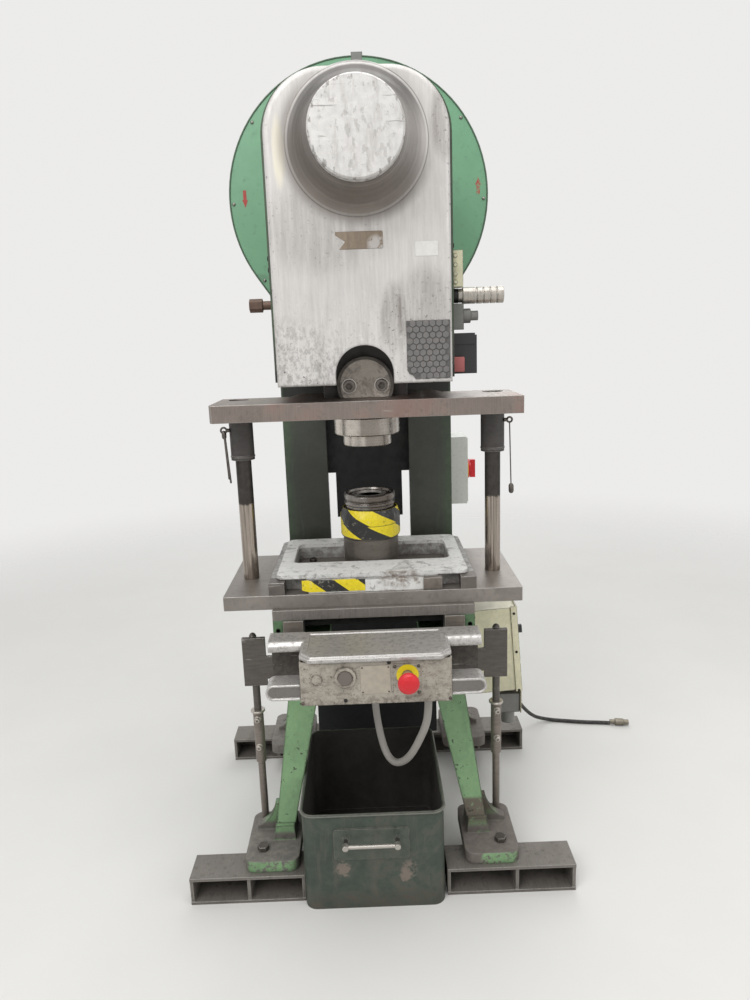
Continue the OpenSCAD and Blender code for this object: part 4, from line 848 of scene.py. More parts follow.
def bevelled(mesh, width, segments=2):
    """Rounds a mesh's sharp edges."""
    made = bmesh.new()
    made.from_mesh(mesh)
    limit = math.radians(40)
    edges = [e for e in made.edges if len(e.link_faces) == 2 and e.calc_face_angle(0) > limit]
    bmesh.ops.bevel(
        made, geom=edges, offset=width, segments=segments, profile=0.5, affect="EDGES", clamp_overlap=True
    )
    made.to_mesh(mesh)
    made.free()
    return mesh


def rounded_outline(low_a, high_a, low_b, high_b, radius, steps=6):
    """The corner points of a rectangle with round corners."""
    points = []
    for a, b, start in (
        (high_a - radius, high_b - radius, 0),
        (low_a + radius, high_b - radius, 90),
        (low_a + radius, low_b + radius, 180),
        (high_a - radius, low_b + radius, 270),
    ):
        for i in range(steps + 1):
            x, y = circle_point(radius, math.radians(start + 90 * i / steps))
            points.append((a + x, b + y))
    return points


def smooth_line(route, parts):
    """A route in millimetres as more points in metres, by the same rule as the solid cord's."""
    points = [Vector(p) * MM for p in route]
    line = []
    for i in range(len(points) - 1):
        a = points[max(i - 1, 0)]
        b, c = points[i], points[i + 1]
        d = points[min(i + 2, len(points) - 1)]
        for k in range(parts):
            f = k / parts
            square, cube = 2 * a - 5 * b + 4 * c - d, 3 * b - a - 3 * c + d
            line.append(0.5 * (2 * b + (c - a) * f + square * f**2 + cube * f**3))
    return line + [points[-1]]


def cord_curve(name, points, diameter, material):
    """A cord as a curve of one open spline, and its length."""
    curve = bpy.data.curves.new(name, "CURVE")
    curve.dimensions = "3D"
    curve.bevel_depth = diameter / 2
    curve.bevel_resolution = 5
    curve.use_fill_caps = True
    line = curve.splines.new("POLY")
    line.points.add(len(points) - 1)
    for spot, place in zip(line.points, points):
        spot.co = (*place, 1)
    line.use_smooth = True
    curve.materials.append(material)
    thing = bpy.data.objects.new(name, curve)
    bpy.context.scene.collection.objects.link(thing)
    return thing, sum((b - a).length for a, b in zip(points, points[1:]))


class Graph:
    """A Geometry Nodes group in the making, with named inputs."""

    def __init__(self, name, **inputs):
        self.group = bpy.data.node_groups.new(name, "GeometryNodeTree")
        face = self.group.interface
        face.new_socket("Geometry", in_out="INPUT", socket_type="NodeSocketGeometry")
        self.keys = {}
        for key, kind in inputs.items():
            made = face.new_socket(key, in_out="INPUT", socket_type="NodeSocket" + kind)
            self.keys[key] = made.identifier
        face.new_socket("Geometry", in_out="OUTPUT", socket_type="NodeSocketGeometry")
        self.inside = self.group.nodes.new("NodeGroupInput").outputs

    def node(self, kind, settings, out=0, **inputs):
        """Adds a node, links or sets its inputs by name and gives one of its outputs."""
        made = self.group.nodes.new(kind)
        for key, value in settings.items():
            setattr(made, key, value)
        for key, value in inputs.items():
            socket = next(s for s in made.inputs if s.enabled and s.name == key.replace("_", " "))
            if isinstance(value, bpy.types.NodeSocket):
                self.group.links.new(value, socket)
            else:
                socket.default_value = value
        return [s for s in made.outputs if s.enabled][out]

    def end(self, geometry):
        """Realizes the instances, gives them their material and ends the group."""
        solid = self.node("GeometryNodeRealizeInstances", {}, Geometry=geometry)
        painted = self.node("GeometryNodeSetMaterial", {}, Geometry=solid, Material=self.inside["Material"])
        self.group.links.new(painted, self.group.nodes.new("NodeGroupOutput").inputs[0])
        return self

    def bake(self, name, mesh, **values):
        """The mesh that the group makes from another mesh."""
        source = bpy.data.objects.new(name, mesh)
        bpy.context.scene.collection.objects.link(source)
        made = source.modifiers.new("graph", "NODES")
        made.node_group = self.group
        for key, value in values.items():
            made[self.keys[key]] = value
        done = source.evaluated_get(bpy.context.evaluated_depsgraph_get())
        result = bpy.data.meshes.new_from_object(done)
        source.modifiers.remove(made)
        bpy.data.objects.remove(source)
        result.name = name
        return result


def screw_graph():
    """Sets a screw head on each point, square to the point's facing, with a chance turn."""
    g = Graph("screws_on_points", Screw="Object", Diameter="Float", Seed="Int", Material="Material")
    info = g.node("GeometryNodeObjectInfo", {}, out=4, Object=g.inside["Screw"])
    facing = g.node("GeometryNodeInputNamedAttribute", {"data_type": "FLOAT_VECTOR"}, Name="facing")
    turn = g.node("FunctionNodeAlignRotationToVector", {"axis": "Z"}, Vector=facing)
    points = g.node("GeometryNodeMeshToPoints", {}, Mesh=g.inside["Geometry"])
    heads = g.node(
        "GeometryNodeInstanceOnPoints", {}, Points=points, Instance=info, Rotation=turn,
        Scale=g.inside["Diameter"],
    )
    chance = g.node("FunctionNodeRandomValue", {}, Min=0.0, Max=FULL_TURN, Seed=g.inside["Seed"])
    about = g.node("ShaderNodeCombineXYZ", {}, Z=chance)
    return g.end(g.node("GeometryNodeRotateInstances", {}, Instances=heads, Rotation=about))


def hexagon_graph():
    """Covers a flat mesh's points with low hexagonal studs that differ a little in height."""
    g = Graph("hexagon_studs", Width="Float", Height="Float", Seed="Int", Material="Material")
    stud = g.node("GeometryNodeMeshCone", {}, Vertices=6, Radius_Top=0.46, Radius_Bottom=0.5, Depth=1.0)
    up = g.node("ShaderNodeCombineXYZ", {}, X=g.inside["Width"], Y=g.inside["Width"], Z=g.inside["Height"])
    chance = g.node("FunctionNodeRandomValue", {}, Min=0.95, Max=1.0, Seed=g.inside["Seed"])
    size = g.node("ShaderNodeVectorMath", {"operation": "SCALE"}, Vector=up, Scale=chance)
    points = g.node("GeometryNodeMeshToPoints", {}, Mesh=g.inside["Geometry"])
    studs = g.node(
        "GeometryNodeInstanceOnPoints", {}, Points=points, Instance=stud, Scale=size,
        Rotation=g.node("FunctionNodeEulerToRotation", {}, Euler=(math.pi / 2, math.pi / 6, 0.0)),
    )
    return g.end(studs)


# Half profiles of screw heads one unit across, as (radius, height)
HEADS = {
    "hex": [(0.5, 0), (0.5, 0.24), (0.44, 0.31), (0.0, 0.31)],
    "socket": [(0.5, 0), (0.5, 0.36), (0.46, 0.42), (0.27, 0.42), (0.27, 0.16), (0.0, 0.14)],
    "dome": [(0.5, 0), (0.49, 0.08), (0.42, 0.20), (0.28, 0.29), (0.12, 0.33), (0.0, 0.34)],
    "nipple": [
        (0.62, 0), (0.62, 0.35), (0.5, 0.4), (0.5, 0.95),
        (0.42, 1.05), (0.24, 1.05), (0.24, 0.8), (0.0, 0.8),
    ],
    "hole": [(0.5, 0), (0.5, 0.05), (0.40, 0.07), (0.36, -0.3), (0.0, -0.3)],
}


def head_mesh(kind):
    """A screw head one unit across that looks along +Z."""
    sides = 6 if kind == "hex" else 20
    mesh = mesh_from(f"head_{kind}", lambda made: add_turned(made, HEADS[kind], (0, 0, 0), sides=sides))
    smooth(mesh, 38)
    return mesh


def screws(name, kind, diameter, places, body, slot, material, seed=1):
    """One piece of screw heads. places holds (point, facing) pairs."""
    points = bpy.data.meshes.new(name + "_points")
    points.from_pydata([p for p, _ in places], [], [])
    facing = points.attributes.new("facing", "FLOAT_VECTOR", "POINT")
    facing.data.foreach_set("vector", [c for _, f in places for c in f])
    head = bpy.data.objects.new("head", head_mesh(kind))
    mesh = screw_graph().bake(name, points, Screw=head, Diameter=diameter, Seed=seed, Material=material)
    bpy.data.objects.remove(head)
    return piece(name, mesh, body, slot, material, angle=0)


def merged(name, boxes, body, slot, material, round_by):
    """Boxes, each given by two corners in metres, as one piece with rounded edges."""

    def build(made):
        for (x0, y0, z0), (x1, y1, z1) in boxes:
            add_prism(made, [(x0, y0), (x1, y0), (x1, y1), (x0, y1)], z0, z1)

    return piece(name, bevelled(mesh_from(name, build), round_by), body, slot, material)


def turned(name, solids, body, slot, material):
    """Turned solids, each a (profile, centre, axis), as one piece."""

    def build(made):
        for profile, centre, axis in solids:
            add_turned(made, profile, centre, axis)

    return piece(name, mesh_from(name, build), body, slot, material)


def plate(name, outline, front, thick, body, slot, material, edge=0.0004, replaced=()):
    """A flat plate that faces the operator, with its face at the place front along Y."""
    mesh = mesh_from(name, lambda made: add_prism(made, outline, front, front + thick, "Y"))
    if edge:
        bevelled(mesh, edge, 1)
    return piece(name, mesh, body, slot, material, replaced)


def add_sweep(made, path, section):
    """Sweeps a small section of (out, up) points round a closed flat path of (point, outward) pairs."""
    rings = []
    for (point, outward), (ahead, _) in zip(path, path[1:] + path[:1]):
        lift = outward.cross((ahead - point).normalized()).normalized()
        rings.append([made.verts.new(point + outward * a + lift * b) for a, b in section])
    for first, second in zip(rings, rings[1:] + rings[:1]):
        for i in range(len(section)):
            j = (i + 1) % len(section)
            made.faces.new((first[i], first[j], second[j], second[i]))


def keyhole(big, low, top, bottom, steps=64):
    """The points of two circles joined by their outer tangents, as (x, z), with their outward ways."""
    lean = math.asin((big - low) / (top - bottom))
    line = []
    for radius, height, start, sweep, count in (
        (big, top, -lean, math.pi + 2 * lean, steps),
        (low, bottom, math.pi + lean, math.pi - 2 * lean, steps // 2),
    ):
        for i in range(count + 1):
            way = Vector(circle_point(1, start + sweep * i / count))
            line.append((Vector((0, height)) + way * radius, way))
    return line


MM = 0.001
# Points of the cords in millimetres, as the solid cords have them
CONDUIT_ROUTE = [
    (104, -375, 506), (104, -376, 480), (100, -370, 440), (88, -352, 395), (70, -328, 345),
    (52, -306, 314), (34, -288, 302), (18, -270, 312), (6, -250, 345), (-2, -234, 395),
    (-4, -224, 438), (-4, -218, 458), (-4, -217, 470),
]
HOSE_ROUTE = [
    (346, 50, 284), (347, 80, 283), (356, 130, 270), (374, 190, 232), (402, 252, 172),
    (434, 302, 112), (464, 340, 66), (494, 372, 32), (528, 392, 12), (562, 392, 6),
    (602, 383, 6), (645, 374, 6), (688, 368, 6), (725, 362, 6),
]


class PRESS_OT_stage(bpy.types.Operator):
    """Makes the camera, the pale floor and the soft lights"""

    bl_idname = "press.stage"
    bl_label = "Stage"

    # The lens in pixels on a frame this high, and the camera's turns in degrees
    lens_px = 750
    frame_px = 1000
    sensor_mm = 36
    tilt = 12.5
    roll = 2.0
    turn = 0.35
    camera_x = 0.002
    # How bright the world is as light and to the eye, and its tint
    world_light = 0.42
    world_seen = 0.84
    world_tint = (1.0, 0.995, 0.985, 1)
    floor_half = 14
    # Each lamp's place, what it looks at, its diameter and its watts
    lamps = (
        ("key", (-1.5, -2.6, 3.3), (0, 0, 1.0), 2.4, 66),
        ("fill", (2.6, -2.2, 2.2), (0, 0, 0.9), 2.6, 20),
        ("ceiling", (0.2, -0.2, 3.9), (0, 0, 0), 3.2, 62),
        ("back", (0.6, 3.0, 2.6), (0, 0, 1.0), 2.4, 26),
    )

    def execute(self, context):
        down, lean, aside = (math.radians(a) for a in (self.tilt, self.roll, self.turn))
        level, drop = math.cos(down), -math.sin(down)
        ahead = Vector((math.sin(aside) * level, math.cos(aside) * level, drop))
        flat = Vector((math.cos(aside), -math.sin(aside), 0))
        rise = flat.cross(ahead)
        up = rise * math.cos(lean) + flat * math.sin(lean)
        right = flat * math.cos(lean) - rise * math.sin(lean)
        data = bpy.data.cameras.new("camera")
        data.sensor_fit = "VERTICAL"
        data.sensor_width = data.sensor_height = self.sensor_mm
        data.lens = self.sensor_mm * self.lens_px / self.frame_px
        data.clip_start = 0.05
        camera = bpy.data.objects.new("camera", data)
        context.scene.collection.objects.link(camera)
        place = Matrix((right, up, -ahead)).transposed().to_4x4()
        place.translation = (self.camera_x, -sizes().camera_back, sizes().camera_height)
        camera.matrix_world = place
        context.scene.camera = camera
        context.scene.view_settings.view_transform = "Standard"
        self.floor(context)
        self.lights(context)
        return {"FINISHED"}

    def floor(self, context):
        """A pale floor that fades into the world away from the press."""
        s = Surface("studio_floor")
        far = s.node("VectorMath", {"operation": "LENGTH"}, s.at, out="Value")
        base = s.tone(colours().floor, s.noise(3, 4).shade(0.985, 1.01))
        s.finish(base, 0.75, 0.0, Alpha=far.step(4.2, 1.5))
        grid = {"x_segments": 1, "y_segments": 1, "size": self.floor_half}
        mesh = mesh_from("floor", lambda made: bmesh.ops.create_grid(made, **grid))
        thing = bpy.data.objects.new("floor", mesh)
        mesh.materials.append(s.material)
        context.scene.collection.objects.link(thing)

    def lights(self, context):
        """The world, paler to the eye than as light, and four soft lamps."""
        world = bpy.data.worlds.new("studio")
        world.use_nodes = True
        tree = world.node_tree
        back = tree.nodes["Background"]
        ray = tree.nodes.new("ShaderNodeLightPath")
        seen = ray.outputs["Is Camera Ray"]
        for kind in ("Is Glossy Ray", "Is Transmission Ray"):
            either = tree.nodes.new("ShaderNodeMath")
            either.operation = "MAXIMUM"
            tree.links.new(seen, either.inputs[0])
            tree.links.new(ray.outputs[kind], either.inputs[1])
            seen = either.outputs[0]
        power = tree.nodes.new("ShaderNodeMapRange")
        tree.links.new(seen, power.inputs["Value"])
        power.inputs["To Min"].default_value = self.world_light
        power.inputs["To Max"].default_value = self.world_seen
        back.inputs["Color"].default_value = self.world_tint
        tree.links.new(power.outputs[0], back.inputs["Strength"])
        context.scene.world = world
        for name, place, aim, size, watts in self.lamps:
            lamp = bpy.data.lights.new(name, "AREA")
            lamp.shape = "DISK"
            lamp.size = size
            lamp.energy = watts
            thing = bpy.data.objects.new(name, lamp)
            thing.location = place
            thing.rotation_mode = "QUATERNION"
            thing.rotation_quaternion = (Vector(aim) - Vector(place)).to_track_quat("-Z", "Y")
            context.scene.collection.objects.link(thing)


class PRESS_OT_cords(bpy.types.Operator):
    """Lays the conduit under the console and the air hose on the floor"""

    bl_idname = "press.cords"
    bl_label = "Cords"

    # How many parts the curve has between two points of a route
    parts = 6

    def execute(self, context):
        grey = rubber("conduit_skin", tint(156, 152, 147), 0.42, 0.25)
        black = rubber("hose_skin", tint(34, 33, 32), 0.5, 0.35)
        route = smooth_line(CONDUIT_ROUTE, self.parts)
        loop, length = cord_curve("conduit_loop", route, sizes().conduit_d, grey)
        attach(loop, "console")
        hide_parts("conduit")
        route = smooth_line(HOSE_ROUTE, self.parts)
        hose, length = cord_curve("air_line", route, sizes().hose_d, black)
        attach(hose, "press_frame")
        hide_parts("air_hose")
        return {"FINISHED"}


class PRESS_OT_paint(bpy.types.Operator):
    """Gives every part of the solid model its paint or metal"""

    bl_idname = "press.paint"
    bl_label = "Paint and metal"

    def execute(self, context):
        c = colours()
        # Where the emergency stop's red head ends and its grey neck starts
        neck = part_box("estop_button")[0].y + 0.0185
        finishes = {
            ("front_casting",): silver_casting(),
            ("front_cap",): cap_silver(),
            ("frame",): frame_paint(),
            ("left_leg", "right_leg"): foot_and_leg_paint(),
            ("scrap_bin",): bin_paint(),
            ("guard_front", "guard_cover"): guard_paint(),
            ("console_body",): console_paint(),
            ("console_cover", "left_hand_pad", "right_hand_pad"): cover_metal(),
            ("guide_pillars",): pillar_metal(),
            ("locating_frame",): white_paint(),
            ("top_die_plate",): steel(
                "plate_steel", c.steel, (40, 1, 1), 0.42, 0.45, (70, 62, 58), 0.75, warm=0.5
            ),
            ("lower_die_plate",): steel(
                "base_steel", tint(142, 136, 130), (1, 30, 1), 0.42, 0.5, (74, 68, 62), 0.7
            ),
            ("bolster",): steel(
                "bolster_steel", tint(136, 130, 124), (30, 1, 1), 0.5, 0.6, (66, 60, 54), 0.5
            ),
            ("die_body",): steel("die_steel", tint(112, 106, 99), (1, 1, 3), 0.36, 0.5, (60, 55, 50), 0.8),
            ("die_ring",): turned_steel("ring_steel", tint(134, 129, 124), 0.041),
            ("punch",): turned_steel("punch_steel", tint(198, 191, 182)),
            ("frame_clamps",): steel(
                "clamp_steel", tint(112, 106, 101), (1, 30, 1), 0.4, 0.3, (60, 55, 50), 0.8
            ),
            ("front_skids", "rear_skid"): steel(
                "skid_steel", tint(126, 121, 115), (30, 1, 1), 0.55, 0.75, (66, 61, 56), 0.3, 0.2
            ),
            ("foot_bolts",): steel(
                "bolt_steel", tint(92, 87, 82), (1, 1, 20), 0.45, 0.6, (54, 49, 44), 0.6
            ),
            ("posts", "post_sleeves"): steel(
                "post_steel", tint(136, 128, 120), (2, 2, 20), 0.45, 0.5, (70, 62, 55), 0.6, 0.6
            ),
            ("console_bracket",): steel(
                "shield_steel", c.dark_steel, (2, 2, 14), 0.42, 0.5, (62, 55, 50), 0.55, 0.9
            ),
            ("ram", "ram_gibs", "connecting_rod"): steel(
                "oily_iron", c.iron, (1, 1, 8), 0.42, 0.7, (40, 37, 34), 0.55
            ),
            ("ram_cap",): ram_cap_metal(),
            ("ram_cap_screws",): steel(
                "screw_steel", tint(126, 119, 112), (1, 1, 6), 0.36, 0.4, (50, 45, 40), 0.8
            ),
            ("guide_bushes",): steel(
                "bush_steel", tint(80, 77, 75), (2, 2, 10), 0.5, 0.4, (48, 44, 41), 0.45
            ),
            ("crankshaft", "ball_screw"): steel("shaft_steel", tint(150, 144, 138), (1, 30, 1), 0.25, 0.3),
            ("adjusting_spindle",): steel(
                "spindle_steel", tint(184, 178, 170), (30, 2, 2), 0.3, 0.4, (84, 76, 68), 0.8
            ),
            ("flywheel", "motor_pulley"): steel("wheel_iron", tint(92, 90, 88), (2, 2, 2), 0.45, 0.4),
            ("electrical_box", "side_block"): worn_paint(
                "cream_paint", c.cream, tint(110, 100, 86), 0.2, 0.42, 0.2, 0.42, 0.45
            ),
            ("lifting_block", "valve_block", "air_unit"): worn_paint(
                "grey_paint", tint(134, 133, 130), tint(84, 80, 76), 0.4, 0.5
            ),
            ("motor",): worn_paint("motor_paint", tint(92, 100, 98), tint(60, 58, 54), 0.2, 0.6),
            ("motor_bracket",): worn_paint(
                "black_paint", tint(26, 27, 29), tint(70, 66, 62), 0.1, 0.3, rough=0.6
            ),
            ("oil_pipe",): plain("tarnish", tint(104, 84, 74), 0.45, 0.6, 0.25),
            ("hose_coupling",): plain("coupling_metal", tint(132, 126, 114), 0.35, 0.85, 0.2),
            ("bearing_bushes",): plain("bronze", tint(164, 128, 74), 0.35, 0.9),
            ("brake_band",): plain("brake_lining", tint(70, 64, 58), 0.7, 0.1),
            ("main_switch_box",): plastic("switch_white", tint(222, 224, 218), 0.38, 0.5),
            ("side_switch_box", "box_knob"): plastic("black_plastic", tint(46, 46, 48), 0.42, 0.4),
            ("start_button",): plastic("button_grey", tint(112, 104, 98), 0.4, 0.5),
            ("estop_button",): plastic("stop_red", c.stop_red, 0.26, 0.25, neck=neck),
            ("main_switch_knob",): plastic("switch_red", c.stop_red, 0.26, 0.25),
            ("estop_ring",): plastic("ring_yellow", tint(238, 214, 36), 0.32, 0.5),
            ("drive_belts",): rubber("belt_rubber", tint(32, 32, 32), 0.6, 0.2),
            ("grip_pad",): rubber("grip_rubber", tint(118, 117, 116), 0.6, 0.25),
        }
        for names, material in finishes.items():
            for name in names:
                mesh = NODES[name].data
                mesh.materials.clear()
                mesh.materials.append(material)
        return {"FINISHED"}


class PRESS_OT_guard(bpy.types.Operator):
    """Edges and screws the belt guard and paints its two faded arrows"""

    bl_idname = "press.guard"
    bl_label = "Belt guard"

    # The circle that the front screws stand on, and their angles in degrees
    screw_ring = 0.329
    screw_angles = [*(-2 + 36.6 * k for k in range(7)), 70, 62.7]
    # The guard's lower circle, round the motor's pulley
    motor_z = 1.150
    low_radius = 0.105
    # How far inside the guard's edge its screws stand and its rolled bead lies, and the bead's radius
    screw_inset = 0.011
    bead_inset = 0.0015
    bead = 0.0022
    # Half an arrow's outline, from its tail to its tip
    arrow = ((0.0042, -0.021), (0.0042, 0.003), (0.0074, 0.003), (0.0, 0.022))

    def execute(self, context):
        bright = plain("guard_screw_steel", tint(128, 128, 120), 0.35, 0.7, 0.3)
        edge_paint = worn_paint("guard_edge", tint(88, 116, 92), tint(74, 76, 68), 0.4, 0.5)
        front, back = GUARD[1].y - 0.003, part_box("guard_cover")[1].y
        places = []
        for degrees in self.screw_angles:
            x, z = circle_point(self.screw_ring, math.radians(degrees))
            places.append(((x, front, SHAFT_Z + z), FRONT))
        ring = keyhole(self.screw_ring, self.low_radius - self.screw_inset, SHAFT_Z, self.motor_z)
        places += [((p.x, front, p.y), FRONT) for p, _ in ring[70:96:8]]
        rear = [((p.x, back, p.y), BACK) for p, _ in ring[2::7]]
        size = sizes().guard_screw
        heads = ("press_frame", "machined_steel", bright)
        screws("guard_screws", "dome", size, places, *heads)
        screws("guard_back_screws", "hex", size * 1.2, rear, *heads, seed=4)
        radii = [r - self.bead_inset for r in ((GUARD[1].x - GUARD[0].x) / 2, self.low_radius)]

        def beads(made):
            line = keyhole(*radii, SHAFT_Z, self.motor_z)
            for y in (front - 0.0002, back + 0.0002):
                path = [(Vector((p.x, y, p.y)), Vector((n.x, 0, n.y))) for p, n in line]
                add_sweep(made, path, circle_section(self.bead, 8))

        piece("guard_edge", mesh_from("guard_edge", beads), "press_frame", "guard_green", edge_paint)
        self.arrows(front)
        return {"FINISHED"}

    def arrows(self, front):
        """Two faded red arrows that show which way the flywheel turns."""
        s = Surface("faded_red")
        gone = s.parts(s.at)[0].step(-0.1, 0.1, 0.0, 0.09)
        spots = s.noise(190, 8, 0.75) + gone
        red = s.finish(s.mix(spots.step(0.55, 0.68), tint(168, 62, 56), colours().guard_green), 0.5)
        thick = 0.0004
        shape = [*self.arrow, *((-a, b) for a, b in reversed(self.arrow[:-1]))]
        for name, x, z, up in (("left", -0.299, 1.577, -1), ("right", 0.3145, 1.590, 1)):
            outline = [(x + a, z + b * up) for a, b in shape]
            plate(f"turning_arrow_{name}", outline, front - thick, thick, "press_frame", "red_plastic",
                  red, 0)


class PRESS_OT_casting(bpy.types.Operator):
    """Puts the plate, the bare label and the hexagon grip pad on the front casting"""

    bl_idname = "press.casting"
    bl_label = "Front casting"

    # Corners in x and z, and thicknesses
    notch_plate = ((-0.0470, 1.3785), (0.0436, 1.4105))
    plate_thick = 0.0012
    label = ((0.1045, 1.3618), (0.1480, 1.3888))
    label_thick = 0.0003
    mat_thick = 0.0018
    stud_height = 0.0014
    # Where the middle of a stud's height is, before the casting's face
    stud_out = 0.0024

    def execute(self, context):
        (x0, z0), (x1, z1) = self.notch_plate
        middle = (z0 + z1) / 2
        cut = 0.002
        outline = [
            (x0 + 0.007, z0), (x1 - cut, z0), (x1, z0 + cut), (x1, z1 - cut), (x1 - cut, z1),
            (x0, z1), (x0, z1 - 0.006), (x0 + 0.0185, middle - 0.002),
        ]
        plate("notched_plate", outline, HEAD_FRONT_Y - self.plate_thick, self.plate_thick, "press_frame",
              "bronze", self.plate_metal(x1, z0))
        (x0, z0), (x1, z1) = self.label
        white = plain("bare_label", tint(226, 225, 220), 0.45, 0.0, 0.05)
        plate("bare_label", rounded_outline(x0, x1, z0, z1, 0.0012, 3), HEAD_FRONT_Y - self.label_thick,
              self.label_thick, "press_frame", "white_plastic", white, 0)
        self.grip()
        return {"FINISHED"}

    def plate_metal(self, right, low):
        """Brown metal, scratched back to silver at its lower right."""
        s = Surface("plate_brown", 0.001)
        x, _, z = s.parts(s.at)
        spots = s.noise(90, 8, 0.72)
        streaks = s.noise(1.0, 5, 0.7, stretch=(90, 10, 12))
        bare = s.patch(x, z, (right - 0.013, low + 0.006), (0.021, 0.022)) * spots.step(0.40, 0.50)
        mottle = streaks.shade(0.84, 1.1) * spots.shade(0.9, 1.08)
        base = s.coats(s.tone(tint(140, 126, 110), mottle), bare=(bare * 0.9, tint(188, 184, 180)))
        return s.finish(base, 0.4 + spots * 0.1, 0.4, spots, 0.2, 0.0004)

    def grip(self):
        """A torn rubber mat with hexagonal studs."""
        low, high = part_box("grip_pad")
        high.x = CASTING[1].x - 0.0045
        mat = rubber("grip_mat", tint(88, 87, 86), 0.6, 0.35)
        stud_rubber = rubber("grip_studs", tint(112, 110, 109), 0.6, 0.3)
        rng = random.Random(7)
        tear = 0.016
        outline = []
        for x in [low.x + tear + 0.0077 * k for k in range(10)]:
            outline.append((min(x, high.x - 0.001), low.z + rng.uniform(-0.0012, 0.0016)))
        outline += [
            (high.x, low.z + 0.004), (high.x, high.z), (low.x, high.z),
            (low.x, low.z + 0.017), (low.x + 0.004, low.z + 0.010), (low.x + 0.011, low.z + 0.007),
        ]
        plate("grip_mat", outline, HEAD_FRONT_Y - self.mat_thick, self.mat_thick, "press_frame",
              "grip_rubber", mat, 0, ["grip_pad"])
        width = sizes().hexagon
        row_height = width * 0.87
        margin, edge = 0.006, 0.004
        points = []
        for row in range(int((high.z - low.z) / row_height)):
            up = margin + row * row_height
            x = low.x + margin + (row % 2) * width / 2
            while x < high.x - edge:
                on_mat = x - low.x + up * 1.2 > 0.027 and low.z + up < high.z - edge
                if on_mat:
                    points.append((x, HEAD_FRONT_Y - self.stud_out, low.z + up))
                x += width
        studs = bpy.data.meshes.new("studs")
        studs.from_pydata(points, [], [])
        mesh = hexagon_graph().bake(
            "grip_studs", studs, Width=width * 1.11, Height=self.stud_height, Seed=3, Material=stud_rubber
        )
        piece("grip_studs", mesh, "press_frame", "grip_rubber", stud_rubber, angle=30)


